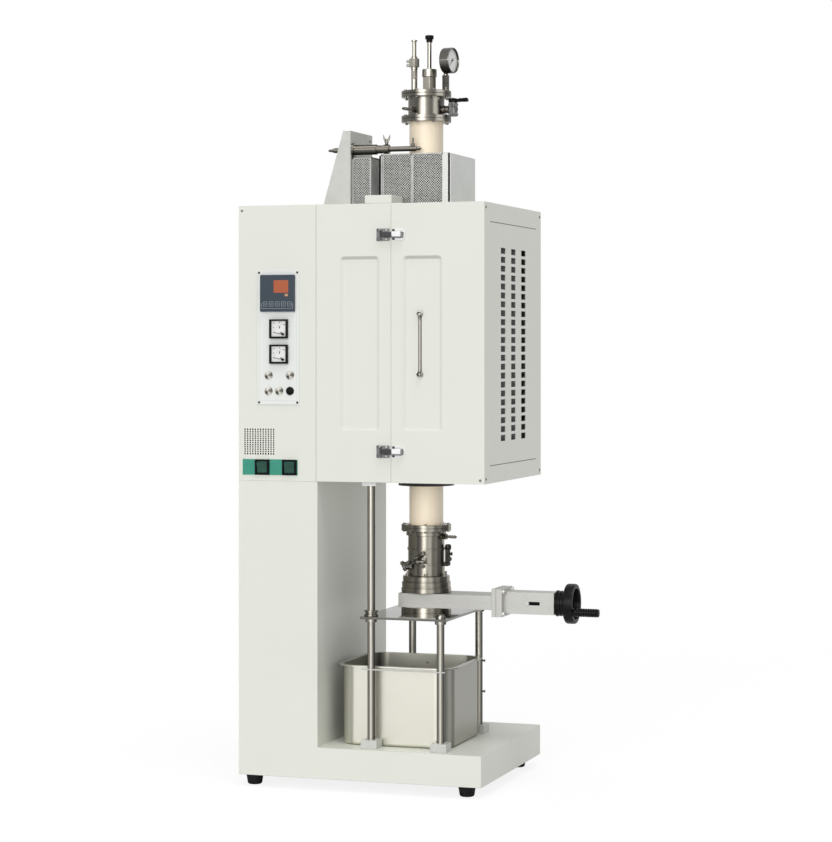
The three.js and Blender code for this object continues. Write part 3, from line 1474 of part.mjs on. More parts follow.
// Quench tank: a deep-drawn pan with rounded corners and a turned-out rim
const tankCentreX = 407;
const tankCentreY = 211;
const tankRimLength = 330;
const tankRimWidth = 306;
const tankRimOverhang = 12;
const tankHeight = 209;
const tankWall = 1.6;
const tankRimThickness = 3.5;
const tankCorner = 46;
const tankFloorRound = 10;
const tankHalfLength = tankRimLength / 2 - tankRimOverhang;
const tankHalfWidth = tankRimWidth / 2 - tankRimOverhang;
const tankBottom = plinthTop + seatGap;
const tankRimTop = tankBottom + tankHeight;
function tankOutline(grow) {
  return roundedRectangle(
    tankCentreX - tankHalfLength - grow, tankCentreX + tankHalfLength + grow,
    tankCentreY - tankHalfWidth - grow, tankCentreY + tankHalfWidth + grow, tankCorner + grow,
  );
}
function tankBody(grow, low, high) {
  const options = {
    depth: high - low - tankFloorRound,
    bevelThickness: tankFloorRound,
    bevelSize: tankFloorRound,
    bevelOffset: -tankFloorRound,
    bevelSegments: 2,
    curveSegments: 4,
  };
  return solid(new THREE.ExtrudeGeometry(tankOutline(grow), options).translate(0, 0, low + tankFloorRound));
}
const tankLid = block(
  tankCentreX - tankRimLength, tankCentreX + tankRimLength, tankCentreY - tankRimWidth, tankCentreY + tankRimWidth,
  tankRimTop, tankRimTop + tankHeight,
);
const tank = cut(
  join(
    cut(tankBody(0, tankBottom, tankRimTop), tankLid),
    raise(tankOutline(tankRimOverhang), tankRimTop - tankRimThickness, tankRimTop, 4),
  ),
  tankBody(-tankWall, tankBottom + tankWall, tankRimTop + overrun),
);
piece("quench_tank", tank, brushedSteel);

// The origin is the middle of the footprint, on the floor
const overallRight = crankStart + crankLength;
const overallFront = -(handleReach + handleRadius);
furnace.position.set(-overallRight / 2, -(overallFront + plinthDepth) / 2, 0);

export default furnace;
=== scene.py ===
import json
import math

import bpy
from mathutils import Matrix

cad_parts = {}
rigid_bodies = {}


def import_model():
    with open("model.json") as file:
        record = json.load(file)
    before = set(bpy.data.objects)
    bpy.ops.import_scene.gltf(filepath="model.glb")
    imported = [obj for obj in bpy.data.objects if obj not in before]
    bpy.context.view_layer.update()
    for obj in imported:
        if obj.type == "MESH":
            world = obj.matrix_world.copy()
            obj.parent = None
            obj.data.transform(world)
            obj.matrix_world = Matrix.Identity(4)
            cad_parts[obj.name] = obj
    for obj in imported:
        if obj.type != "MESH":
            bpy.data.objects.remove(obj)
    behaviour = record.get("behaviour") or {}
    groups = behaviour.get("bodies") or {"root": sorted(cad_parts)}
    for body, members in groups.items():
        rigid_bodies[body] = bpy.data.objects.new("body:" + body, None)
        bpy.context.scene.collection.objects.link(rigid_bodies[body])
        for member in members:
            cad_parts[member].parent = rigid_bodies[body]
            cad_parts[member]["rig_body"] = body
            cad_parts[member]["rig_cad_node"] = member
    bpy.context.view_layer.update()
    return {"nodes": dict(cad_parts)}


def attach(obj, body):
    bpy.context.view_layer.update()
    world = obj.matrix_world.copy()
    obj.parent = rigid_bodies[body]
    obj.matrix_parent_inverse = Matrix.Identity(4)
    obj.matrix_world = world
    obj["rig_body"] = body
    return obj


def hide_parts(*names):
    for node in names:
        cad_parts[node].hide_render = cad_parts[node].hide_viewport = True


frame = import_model()


# Studio: a white floor and surround, a soft lamp from the front, one from high up and a weak one from the right.
# The camera stands six and a half metres off, a little to the right, at chest height, with its back kept upright.
def fill(node, inputs):
    """Sets a shader node's inputs by name."""
    for name, value in inputs.items():
        node.inputs[name].default_value = value


def add_node(tree, kind, inputs=None, **settings):
    """Adds a shader node with its settings and some of its inputs."""
    node = tree.nodes.new("ShaderNode" + kind)
    for name, value in settings.items():
        setattr(node, name, value)
    fill(node, inputs or {})
    return node


def link_up(tree, *links):
    """Links shader nodes: each link is a node and its output, then a node and its input."""
    for source, output, target, entry in links:
        tree.links.new(source.outputs[output], target.inputs[entry])


bpy.ops.object.select_all(action="DESELECT")
bpy.ops.object.camera_add(location=(2.0172, -6.2349, 1.1491), rotation=(math.radians(90), 0, math.radians(18.444)))
camera = bpy.context.object
camera.data.lens = 104.98
camera.data.shift_y = -0.0867
camera.data.clip_end = 60
bpy.context.scene.camera = camera
bpy.context.scene.view_settings.view_transform = "Standard"

world = bpy.data.worlds.new("studio")
bpy.context.scene.world = world
world.use_nodes = True
sky = world.node_tree
sky.nodes.clear()
sky_out = add_node(sky, "OutputWorld")
seen = add_node(sky, "Background", {"Color": (1, 1, 1, 1), "Strength": 1.0})
ambient = add_node(sky, "Background", {"Color": (0.98, 0.99, 1, 1), "Strength": 0.45})
choose = add_node(sky, "MixShader")
rays = add_node(sky, "LightPath")
glossy_share = add_node(sky, "Math", {1: 0.55}, operation="MULTIPLY")
either = add_node(sky, "Math", operation="MAXIMUM")
any_ray = add_node(sky, "Math", operation="MAXIMUM")
link_up(
    sky,
    (rays, "Is Glossy Ray", glossy_share, 0), (rays, "Is Camera Ray", either, 0), (glossy_share, 0, either, 1),
    (either, 0, any_ray, 0), (rays, "Is Transmission Ray", any_ray, 1), (any_ray, 0, choose, 0),
    (ambient, 0, choose, 1), (seen, 0, choose, 2), (choose, 0, sky_out, 0),
)

for lamp_name, azimuth, elevation, softness, power in (
    ("key", -2, 14, 40, 1.12),
    ("crown", 35, 68, 30, 0.85),
    ("side", 75, 6, 40, 0.1),
):
    bpy.ops.object.light_add(type="SUN", rotation=(math.radians(90 - elevation), 0, math.radians(azimuth)))
    lamp = bpy.context.object
    lamp.name = lamp_name
    lamp.data.angle = math.radians(softness)
    lamp.data.energy = power

bpy.ops.object.select_all(action="DESELECT")
bpy.ops.mesh.primitive_plane_add(size=60, location=(0, 0, -0.0005))
floor = bpy.context.object
floor.name = "studio_floor"
floor_look = bpy.data.materials.new("floor_look")
floor_look.use_nodes = True
floor_tree = floor_look.node_tree
floor_tree.nodes.clear()
floor_out = add_node(floor_tree, "OutputMaterial")
floor_mix = add_node(floor_tree, "MixShader")
floor_shade = add_node(floor_tree, "BsdfDiffuse", {"Color": (0.92, 0.92, 0.92, 1)})
floor_glow = add_node(floor_tree, "Emission", {"Strength": 1.07})
floor_rays = add_node(floor_tree, "LightPath")
floor_share = add_node(floor_tree, "Math", {1: 0.8}, operation="MULTIPLY")
link_up(
    floor_tree,
    (floor_rays, "Is Camera Ray", floor_share, 0), (floor_share, 0, floor_mix, 0), (floor_shade, 0, floor_mix, 1),
    (floor_glow, 0, floor_mix, 2), (floor_mix, 0, floor_out, 0),
)
floor.data.materials.append(floor_look)


# Stand: a folded and welded enclosure of 2 mm sheet, a low plinth with the pillar rising at its left,
# powder coated in a warm pale grey. Its folds are pressed, so every outer edge is a small round.
middle_x, middle_y = 464.75, 265
nodes = frame["nodes"]


def mm(x, y, z):
    """A point in millimetres from the cabinet's front left edge and the floor, as metres in the part's frame."""
    return ((x - middle_x) / 1000, (y - middle_y) / 1000, z / 1000)


def bare_look(name):
    """A new finish, its node tree and its shader."""
    look = bpy.data.materials.new(name)
    look.use_nodes = True
    return look, look.node_tree, look.node_tree.nodes["Principled BSDF"]


def tone_ramp(tree, colour, low, high):
    """A ramp between two strengths of one colour."""
    ramp = add_node(tree, "ValToRGB")
    for element, strength in zip(ramp.color_ramp.elements, (low, high)):
        element.color = (*[min(1, part * strength) for part in colour], 1)
    return ramp


def paint(name, colour, roughness):
    """Powder coat: a faint unevenness of colour over a fine orange peel, with painted shade on the faces that point
    down.
    """
    look, tree, shader = bare_look(name)
    fill(shader, {"Roughness": roughness, "Specular IOR Level": 0.4})
    where = add_node(tree, "TexCoord")
    clouds = add_node(tree, "TexNoise", {"Scale": 3.5, "Detail": 3})
    ramp = tone_ramp(tree, colour, 0.975, 1.02)
    facing = add_node(tree, "SeparateXYZ")
    # Painted shade: faces that point down are darkened, to 0.70 of the colour where they face fully down.
    shade = add_node(tree, "MapRange", {"From Min": -0.55, "From Max": -0.1, "To Min": 0.70})
    underside_shade = add_node(tree, "Mix", {"Factor": 1.0}, data_type="RGBA", blend_type="MULTIPLY")
    peel = add_node(tree, "TexNoise", {"Scale": 700})
    bump = add_node(tree, "Bump", {"Strength": 0.05, "Distance": 0.0003})
    link_up(
        tree,
        (where, "Object", clouds, "Vector"), (where, "Object", peel, "Vector"), (clouds, "Fac", ramp, "Fac"),
        (where, "Normal", facing, 0), (facing, "Z", shade, "Value"), (ramp, "Color", underside_shade, "A"),
        (shade, "Result", underside_shade, "B"), (underside_shade, "Result", shader, "Base Color"), (peel, "Fac", bump, "Height"),
        (bump, "Normal", shader, "Normal"),
    )
    return look


def alone(piece):
    """Selects one piece and nothing else."""
    bpy.ops.object.select_all(action="DESELECT")
    piece.select_set(True)
    bpy.context.view_layer.objects.active = piece


def settled(piece):
    """Applies a piece's place, turn and size to its mesh."""
    alone(piece)
    bpy.ops.object.transform_apply(location=True, rotation=True, scale=True)
    return piece


def rounded(piece, edge, **settings):
    """Rounds the active piece's edges by edge millimetres."""
    rounding = piece.modifiers.new("rounding", "BEVEL")
    rounding.width = edge / 1000
    for name, value in settings.items():
        setattr(rounding, name, value)
    bpy.ops.object.modifier_apply(modifier="rounding")
    return piece


def softened(name, node, edge, segments=2):
    """A copy of a solid with its triangles merged into faces and its sharp edges rounded by edge millimetres."""
    alone(nodes[node])
    bpy.ops.object.duplicate()
    piece = bpy.context.object
    piece.name = name
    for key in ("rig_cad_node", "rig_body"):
        if key in piece:
            del piece[key]
    bpy.ops.object.parent_clear(type="CLEAR_KEEP_TRANSFORM")
    bpy.ops.object.mode_set(mode="EDIT")
    bpy.ops.mesh.select_all(action="SELECT")
    bpy.ops.mesh.remove_doubles(threshold=0.000004)
    bpy.ops.mesh.dissolve_limited(angle_limit=math.radians(0.5))
    bpy.ops.object.mode_set(mode="OBJECT")
    if edge:
        rounded(piece, edge, segments=segments, limit_method="ANGLE", angle_limit=math.radians(30))
    return piece


def finished(piece, body, slot, look, *stands_for):
    """Gives a piece its finish, its body and its slot, and hides the solids that it stands for."""
    settled(piece)
    bpy.ops.object.shade_smooth_by_angle(angle=math.radians(35))
    flat_faces = piece.modifiers.new("flat_faces", "WEIGHTED_NORMAL")
    flat_faces.keep_sharp = True
    bpy.ops.object.modifier_apply(modifier="flat_faces")
    piece.data.materials.clear()
    piece.data.materials.append(look)
    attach(piece, body)
    if stands_for:
        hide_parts(*stands_for)
    return piece


cream = paint("cream_coat", (0.775, 0.785, 0.715), 0.42)
finished(softened("stand_shell", "stand_frame", 1.0), "frame", "cream_paint", cream, "stand_frame")
finished(softened("pillar_cover", "pillar_rear_cover", 0.5), "frame", "cream_paint", cream, "pillar_rear_cover")


# Feet: four moulded rubber cones with a turned step, screwed up into the plinth's rim.
# Their black is dusty rather than glossy.
def turned(name, profile, centre, axis="Z", steps=72, sweep=360.0, start=0.0):
    """A solid of revolution: a point is drawn along the profile of (radius, height) in millimetres and spun."""
    bpy.ops.object.select_all(action="DESELECT")
    bpy.ops.mesh.primitive_plane_add(size=0.001)
    piece = bpy.context.object
    piece.name = name
    bpy.ops.object.mode_set(mode="EDIT")
    bpy.ops.mesh.select_mode(type="VERT")
    bpy.ops.mesh.select_all(action="SELECT")
    bpy.ops.mesh.merge(type="CENTER")
    turn = math.radians(start)
    radius, height = profile[0]
    bpy.ops.transform.translate(
        value=(radius / 1000 * math.cos(turn), radius / 1000 * math.sin(turn), height / 1000))
    for (r0, z0), (r1, z1) in zip(profile, profile[1:]):
        out = (r1 - r0) / 1000
        bpy.ops.mesh.extrude_region_move(TRANSFORM_OT_translate={
            "value": (out * math.cos(turn), out * math.sin(turn), (z1 - z0) / 1000)})
    bpy.ops.mesh.select_all(action="SELECT")
    bpy.ops.mesh.spin(
        steps=steps, angle=math.radians(sweep), center=(0, 0, 0), axis=(0, 0, 1), use_normal_flip=False)
    bpy.ops.mesh.select_all(action="SELECT")
    bpy.ops.mesh.remove_doubles(threshold=0.000002)
    bpy.ops.mesh.normals_make_consistent(inside=False)
    bpy.ops.object.mode_set(mode="OBJECT")
    piece.rotation_euler = {"X": (0, math.pi / 2, 0), "Y": (-math.pi / 2, 0, 0), "Z": (0, 0, 0)}[axis]
    piece.location = mm(*centre)
    return settled(piece)


def plain(name, colour, roughness, metallic=0.0, variation=0.06, scale=60.0, shine=0.5):
    """An even finish with a light mottling of its colour."""
    look, tree, shader = bare_look(name)
    fill(shader, {"Roughness": roughness, "Metallic": metallic, "Specular IOR Level": shine})
    where = add_node(tree, "TexCoord")
    mottle = add_node(tree, "TexNoise", {"Scale": scale, "Detail": 4})
    ramp = tone_ramp(tree, colour, 1 - variation, 1 + variation)
    ramp.color_ramp.elements[0].position = 0.3
    ramp.color_ramp.elements[1].position = 0.7
    link_up(
        tree,
        (where, "Object", mottle, "Vector"), (mottle, "Fac", ramp, "Fac"), (ramp, "Color", shader, "Base Color"),
    )
    return look


rubber = plain("foot_rubber", (0.010, 0.010, 0.010), 0.6, shine=0.2)
for foot, foot_x, foot_y in (
    ("front_left", 28, 45), ("front_right", 614, 45), ("rear_left", 28, 515), ("rear_right", 614, 515),
):
    cone = turned(f"rubber_{foot}", [
        (0, 0), (15.5, 0), (18, 1.5), (19.3, 4), (21.3, 17), (21.7, 20), (22.4, 20.6), (22.4, 29.8), (0, 29.8),
    ], (foot_x, foot_y, 0.05), steps=40)
    finished(cone, "frame", "black_rubber", rubber, f"foot_{foot}")


# Control cabinet: a painted box on the pillar with a field of small square vents at its lower left.
# Each upright slit of the sheet is crossed by eleven ribs, which leave twelve rows of holes.
def slab(name, x, y, z, edge=0.0, segments=2):
    """A block between two levels in millimetres on each axis, with its edges rounded."""
    bpy.ops.object.select_all(action="DESELECT")
    low, high = mm(x[0], y[0], z[0]), mm(x[1], y[1], z[1])
    bpy.ops.mesh.primitive_cube_add(size=1, location=[(a + b) / 2 for a, b in zip(low, high)])
    piece = bpy.context.object
    piece.name = name
    piece.scale = [b - a for a, b in zip(low, high)]
    settled(piece)
    return rounded(piece, edge, segments=segments) if edge else piece


def together(name, *pieces):
    """Joins pieces of one finish into one object."""
    bpy.ops.object.select_all(action="DESELECT")
    for part in pieces:
        part.select_set(True)
    bpy.context.view_layer.objects.active = pieces[0]
    bpy.ops.object.join()
    joined = bpy.context.object
    joined.name = name
    return joined


def slabs(name, boxes):
    """Blocks of one finish, each given as its levels on X, Y and Z, joined into one object."""
    return together(name, *[slab(f"{name}_{index}", *box) for index, box in enumerate(boxes)])


finished(softened("cabinet_shell", "control_cabinet", 0.9), "frame", "cream_paint", cream, "control_cabinet")
vent_foot, vent_rise, vent_rows = 870, 68, 12
rib_levels = [vent_foot + vent_rise / vent_rows * step for step in range(1, vent_rows)]
vent_ribs = slabs("vent_ribs", [((15, 105), (0.25, 1.9), (z - 1.0, z + 1.0)) for z in rib_levels])
finished(vent_ribs, "frame", "cream_paint", cream)
# Painted shadow: a near-black sheet behind the ribs stands for the shade inside the vents.
shadow_black = plain("vent_shadow", (0.008, 0.008, 0.008), 0.9, shine=0.05)
finished(slab("vent_shadow_sheet", (12, 108), (6, 7), (866, 942)), "frame", "black_plastic", shadow_black)


# Small cross-head screws hold the cabinet's skin, the panel plate and the side panel.
# Each is a domed nickel head with its recess drawn as a near-black cross, a painted shadow.
def screw(name, radius, centre, facing, body, look=None):
    """A domed screw head facing the front or the right, with its recess painted as a dark shadow."""
    axis, turn = {"front": ("Y", 1), "right": ("X", -1)}[facing]
    height = radius * 0.5
    dome = [(0, -height * turn)]
    for step in range(1, 6):
        angle = math.radians(18 * step)
        dome.append((radius * math.sin(angle), -height * math.cos(angle) * turn))
    dome += [(radius, height * 0.4 * turn), (0, height * 0.4 * turn)]
    head = turned(name, dome, centre, axis, steps=20)
    x, y, z = centre
    deep, wide = radius * 0.12, radius * 0.5
    top = height + 0.05
    recess = []
    for across, up in ((wide, deep), (deep, wide)):
        recess.append({
            "front": ((x - across, x + across), (y - top, y - top + 0.2), (z - up, z + up)),
            "right": ((x + top - 0.2, x + top), (y - across, y + across), (z - up, z + up)),
        }[facing])
    # The recess is a thin near-black cross: painted shade standing for the slot.
    dark = slabs(name + "_recess", recess)
    finished(head, body, "steel", look or nickel)
    finished(dark, body, "black_plastic", shadow_black)


nickel = plain("nickel_screws", (0.26, 0.25, 0.235), 0.3, metallic=1.0)
screw("cabinet_screw_top", 3.4, (9.5, -0.1, 1509), "front", "frame")
for index, (y, z) in enumerate(((13, 1508), (520, 1508), (13, 815), (520, 815))):
    screw(f"side_screw_{index}", 4.0, (674.1, y, z), "right", "right_half")
screw("under_screw_right", 3.4, (663, -0.1, 812), "front", "right_half")


# Instrument panel: a white plate screwed over the cabinet's window, with the push buttons' rings.
# The buttons are nickel caps with a turned dish; the last one is black.
def painted_reflection_bands(name, bands, roughness, around="Z", flat=0.4, tint=(1.04, 1.0, 0.90), metallic=1.0, grain=0.08):
    """Painted reflections on turned steel: its tone goes round with the surface in soft bands of painted highlight
    and shade, given as (degrees, tone) pairs.

    The degrees are where the surface faces: round Z from +X towards +Y, round X from the rear upwards and
    round Y from +X upwards.
    """
    look, tree, shader = bare_look(name)
    fill(shader, {"Metallic": metallic, "Roughness": roughness})
    where = add_node(tree, "TexCoord")
    facing = add_node(tree, "SeparateXYZ")
    angle = add_node(tree, "Math", operation="ARCTAN2")
    drift = add_node(tree, "TexNoise", {"Scale": 9})
    turn = add_node(tree, "Math", {1: 1 / (2 * math.pi), 2: 0.5}, operation="MULTIPLY_ADD")
    wander = add_node(tree, "Math", {1: 0.02}, operation="MULTIPLY_ADD")
    # The ramp holds the painted highlight and shade bands; faces square to the axis take the flat tone.
    ramp = add_node(tree, "ValToRGB")
    ramp.color_ramp.interpolation = "EASE"
    stops = sorted(((degrees + 180) % 360 / 360 + 0.01, tone) for degrees, tone in bands)
    for index, (place, tone) in enumerate(stops):
        element = ramp.color_ramp.elements[index] if index < 2 else ramp.color_ramp.elements.new(1.0)
        element.position = min(place, 1.0)
        element.color = (*[min(1, tone * part) for part in tint], 1)
    level = add_node(tree, "Math", operation="ABSOLUTE")
    end_from, end_to = (0.99, 0.999) if around == "Y" else (0.75, 0.97)
    ends = add_node(tree, "MapRange", {"From Min": end_from, "From Max": end_to})
    cap = add_node(tree, "Mix", data_type="RGBA")
    cap.inputs["B"].default_value = (*[flat * part for part in tint], 1)
    lathe = add_node(tree, "TexNoise", {"Scale": 1500}, noise_dimensions="1D")
    bump = add_node(tree, "Bump", {"Strength": grain, "Distance": 0.0002})
    split = add_node(tree, "SeparateXYZ")
    side, base = {"Z": ("Y", "X"), "X": ("Z", "Y"), "Y": ("Z", "X")}[around]
    link_up(
        tree,
        (where, "Normal", facing, 0), (where, "Object", drift, "Vector"), (where, "Object", split, 0),
        (facing, side, angle, 0), (facing, base, angle, 1), (angle, 0, turn, 0), (drift, "Fac", wander, 0),
        (turn, 0, wander, 2), (wander, 0, ramp, "Fac"), (facing, around, level, 0), (level, 0, ends, "Value"),
        (ends, "Result", cap, "Factor"), (ramp, "Color", cap, "A"), (cap, "Result", shader, "Base Color"),
        (split, around, lathe, "W"), (lathe, "Fac", bump, "Height"), (bump, "Normal", shader, "Normal"),
    )
    return look


white = paint("panel_white", (0.80, 0.82, 0.785), 0.38)
screw_dark = plain("panel_screws", (0.025, 0.025, 0.025), 0.4, metallic=0.5)
pressed_and_shade_line = plain("panel_line", (0.60, 0.62, 0.58), 0.5)
plate = slab("panel_plate", (53, 171), (-2, 0), (1001, 1352), 1.0)
finished(plate, "frame", "white_panel", white, "instrument_panel")
for corner, (x, z) in enumerate(((58.5, 1346), (165.5, 1346), (58.5, 1007), (165.5, 1007))):
    screw(f"panel_screw_{corner}", 3.1, (x, -2.0, z), "front", "frame", screw_dark)
# The lines along the plate's left and bottom edges are painted shade; the three inside them are pressed lines.
panel_lines = slabs("panel_pressed_and_shade_lines", [(x, (-2.06, -1.9), z) for x, z in (
    ((59.6, 60.2), (1012.6, 1240)), ((163.8, 164.4), (1012.6, 1240)), ((59.6, 164.4), (1012, 1012.6)),
    ((53, 53.8), (1001.6, 1351.4)), ((53.6, 170.4), (1001, 1001.8)))])
finished(panel_lines, "frame", "white_panel", pressed_and_shade_line)
# Painted reflections: the caps' tone turns round their axis in bright and dark sectors.
button_steel = painted_reflection_bands("button_nickel", (
    (-180, 0.30), (-150, 0.10), (-115, 0.10), (-85, 0.75), (-60, 0.9), (-35, 0.6), (-5, 0.12), (30, 0.10),
    (65, 0.35), (95, 0.85), (125, 0.95), (150, 0.6),
), 0.3, around="Y", flat=0.5, grain=0.0)
button_black = plain("button_black", (0.004, 0.004, 0.004), 0.3, shine=0.15)
for button, x, z in (
    ("upper_left", 85.5, 1078), ("upper_right", 145.5, 1078),
    ("lower_left", 85.5, 1037), ("lower_middle", 115.5, 1037), ("lower_right", 145.5, 1037),
):
    slot, look = ("black_plastic", button_black) if button == "lower_right" else ("steel", button_steel)
    ring = turned(f"ring_{button}", [
        (8.3, 2), (11, 2), (11, -1.6), (9.4, -2.9), (8.3, -3), (8.3, 2),
    ], (x, -2, z), "Y", 40)
    finished(ring, "frame", slot, look)
    cap = turned(f"cap_{button}", [
        (0, -6.0), (2.4, -5.5), (5.4, -4.2), (7.2, -3.4), (8.0, -3.2), (8.0, 8), (0, 8),
    ], (x, -2, z), "Y", 40)
    finished(cap, f"button_{button}", slot, look, f"button_{button}")


# Temperature controller: a slate-blue moulding with a red-brown display window, a smaller window beside it
# and a row of five outlined keys; behind the plate its case runs back into the cabinet.
slate = plain("controller_slate", (0.050, 0.066, 0.085), 0.42, variation=0.03, shine=0.25)
body_back = slab("controller_case", (66.5, 157.5), (-2, 80), (1246.5, 1337.5), 1.0)
bezel = slab("controller_bezel", (64, 160), (-11, -2), (1244, 1340), 2.0, 3)
finished(together("controller_body", bezel, body_back), "frame", "slate_plastic", slate, "temperature_controller")
slate_face = plain("controller_face", (0.046, 0.061, 0.080), 0.3, variation=0.02, shine=0.2)
face = slab("controller_face", (67, 157), (-11.25, -10.6), (1247, 1337), 0.2)
finished(face, "frame", "slate_plastic", slate_face)
display, display_tree, display_shader = bare_look("display_red")
fill(display_shader, {
    "Base Color": (0.30, 0.065, 0.018, 1), "Roughness": 0.18,
    "Emission Color": (0.45, 0.10, 0.03, 1), "Emission Strength": 0.25,
})
display_where = add_node(display_tree, "TexCoord")
display_grain = add_node(display_tree, "TexNoise", {"Scale": 220})
display_bump = add_node(display_tree, "Bump", {"Strength": 0.05})
link_up(
    display_tree,
    (display_where, "Object", display_grain, "Vector"), (display_grain, "Fac", display_bump, "Height"),
    (display_bump, "Normal", display_shader, "Normal"),
)
window = slab("controller_display", (103, 144), (-11.6, -11), (1293, 1326), 0.3)
finished(window, "frame", "slate_plastic", display)
amber = plain("small_display", (0.55, 0.28, 0.14), 0.3)
finished(slab("controller_pilot", (134, 143), (-11.5, -11), (1284, 1290), 0.2), "frame", "slate_plastic", amber)
key_line = plain("key_lines", (0.42, 0.46, 0.50), 0.5)
key_bars = []
for step in range(5):
    left = 73.5 + step * 17
    key_bars += [
        ((left, left + 11.5), (1258, 1258.7)), ((left, left + 11.5), (1269.3, 1270)),
        ((left, left + 0.7), (1258, 1270)), ((left + 10.8, left + 11.5), (1258, 1270)),
        ((left + 3.4, left + 8.1), (1263.3, 1264.4)),
    ]
key_bars += [((69, 156), (1252, 1252.7)), ((69, 69.6), (1252, 1266)), ((155.4, 156), (1252, 1266))]
keys = slabs("controller_keys", [(x, (-11.45, -11.1), z) for x, z in key_bars])
finished(keys, "frame", "slate_plastic", key_line)


# Panel meters: black square frames round white dials, each with a quarter scale, a black cover over its
# corner pivot and a needle that lies along the foot of the dial at zero.
def block(size, place, turn=(0, 0, 0)):
    """A block of a size in metres, set down at a place in metres and turned there."""
    bpy.ops.object.select_all(action="DESELECT")
    bpy.ops.mesh.primitive_cube_add(size=1, location=place, rotation=turn)
    piece = bpy.context.object
    piece.scale = size
    return settled(piece)


frame_black = plain("meter_black", (0.005, 0.005, 0.0055), 0.34, shine=0.1)
dial_white = plain("dial_white", (0.87, 0.87, 0.85), 0.45, variation=0.01)
ink = plain("dial_ink", (0.008, 0.008, 0.008), 0.6, shine=0.1)
number_grey = plain("dial_numbers", (0.22, 0.22, 0.22), 0.6, shine=0.1)
pivot_x, scale_reach = 127.5, 26.0
for meter, z in (("upper", 1199), ("lower", 1133)):
    casing, needle = f"meter_{meter}", f"needle_{meter}"
    pivot_z = z - 14
    finished(softened(f"meter_frame_{meter}", casing, 0.6), "frame", "black_plastic", frame_black, casing)
    dial = slab(f"meter_dial_{meter}", (93.7, 137.3), (-6.35, -5.6), (z - 21.8, z + 21.8))
    finished(dial, "frame", "white_panel", dial_white)
    inner_frame = slabs(f"meter_inner_frame_{meter}", [
        (x, (-11.6, -6.4), (z + low, z + high), 0.3) for x, low, high in (
            ((93.4, 95.4), -22.1, 22.1), ((135.9, 137.6), -22.1, 22.1),
            ((93.4, 137.6), 20.6, 22.1), ((93.4, 137.6), -22.1, -19.9),
        )])
    finished(inner_frame, "frame", "black_plastic", frame_black)
    ticks = []
    for step in range(11):
        angle = math.radians(12 + 8 * step)
        length = 0.0036 if step % 5 == 0 else 0.0020
        at = mm(pivot_x - scale_reach * math.cos(angle), -6.5, pivot_z + scale_reach * math.sin(angle))
        ticks.append(block((length, 0.0003, 0.0005), at, (0, angle, 0)))
    finished(together(f"meter_scale_{meter}", *ticks), "frame", "black_plastic", ink)
    unit = block((0.0024, 0.0003, 0.0066), mm(117.8, -6.5, z + 4.2), (0, math.radians(20), 0))
    finished(unit, "frame", "black_plastic", ink)
    numbers = slabs(f"meter_numbers_{meter}", [
        ((x - 1.2, x + 1.2), (-6.5, -6.2), (z + up - 1.4, z + up + 1.4))
        for x, up in ((102.5, 14.2), (117.5, 16.4), (131.2, 11), (101, 3))])
    finished(numbers, "frame", "black_plastic", number_grey)
    elbow = block((0.0085, 0.0008, 0.0024), mm(124.4, -9.0, z - 11.6), (0, math.radians(42), 0))
    hub_cap = turned(f"pivot_cover_{meter}", [
        (0, -1.6), (3.0, -1.6), (3.4, -1.0), (3.4, 0), (0, 0),
    ], (pivot_x, -9.6, pivot_z), "Y", 32)
    finished(together(f"pivot_cover_{meter}", hub_cap, elbow), needle, "black_plastic", frame_black)
    finished(softened(f"pointer_{meter}", needle, 0), needle, "black_plastic", ink, needle)


# Switch strip: two lit rocker switches in black frames between blank fields of glossy green.
# The rockers are smoked green windows over their lamps.
green = plain("strip_green", (0.022, 0.28, 0.19), 0.3, variation=0.08, scale=25)
finished(slab("strip_plate", (12, 166), (-2, 0), (817, 858), 0.8), "frame", "green_plastic", green, "switch_strip")
rocker_green = plain("rocker_green", (0.010, 0.075, 0.048), 0.2, variation=0.2, scale=40)
for side, x in (("left", 67.5), ("right", 144)):
    rocker = f"rocker_{side}"
    outer = slab(f"switch_frame_{side}", (x - 20.5, x + 20.5), (-5, -0.2), (817.2, 857.8), 1.0)
    bpy.ops.object.mode_set(mode="EDIT")
    bpy.ops.mesh.select_all(action="DESELECT")
    bpy.ops.object.mode_set(mode="OBJECT")
    for face in outer.data.polygons:
        face.select = face.normal.y < -0.9
    bpy.ops.object.mode_set(mode="EDIT")
    bpy.ops.mesh.inset(thickness=0.0055)
    bpy.ops.mesh.extrude_region_move(TRANSFORM_OT_translate={"value": (0, 0.0042, 0)})
    bpy.ops.object.mode_set(mode="OBJECT")
    finished(outer, "frame", "black_plastic", frame_black)
    finished(softened(f"rocker_window_{side}", rocker, 0.8), rocker, "green_plastic", rocker_green, rocker)


# Furnace casings: the left half is fixed and carries the door switch's box; the right half swings.
# Each front is pressed into a long sunk panel, and the right side has three columns of square vents.
finished(softened("left_shell", "left_casing", 0.9), "frame", "cream_paint", cream, "left_casing")
finished(softened("right_shell", "right_casing", 0.9), "right_half", "cream_paint", cream, "right_casing")
groove = plain("side_grooves", (0.10, 0.10, 0.095), 0.8)
for z in (1473, 847.5):
    cut = slab(f"side_groove_{int(z)}", (673.6, 674.12), (50, 485), (z - 0.9, z + 0.9))
    finished(cut, "right_half", "cream_paint", groove)
inner_grey = plain("inner_sheet", (0.16, 0.16, 0.155), 0.5, metallic=0.6)
finished(slab("vent_inner_sheet", (655, 656.5), (120, 410), (880, 1440)), "right_half", "steel", inner_grey)
shutter = plain("vent_inner_bars", (0.34, 0.34, 0.33), 0.5, metallic=0.5)
bars = slabs("vent_inner_bars", [
    ((652, 655), (y - 2, y + 2), (880, 1440)) for y in (158, 170, 182, 253, 265, 277, 349, 361, 373)])
finished(bars, "right_half", "steel", shutter)
switch_line = slab("switch_box_seam", (347.8, 421.2), (9.8, 100.2), (1521.8, 1523.0))
finished(switch_line, "frame", "cream_paint", groove)
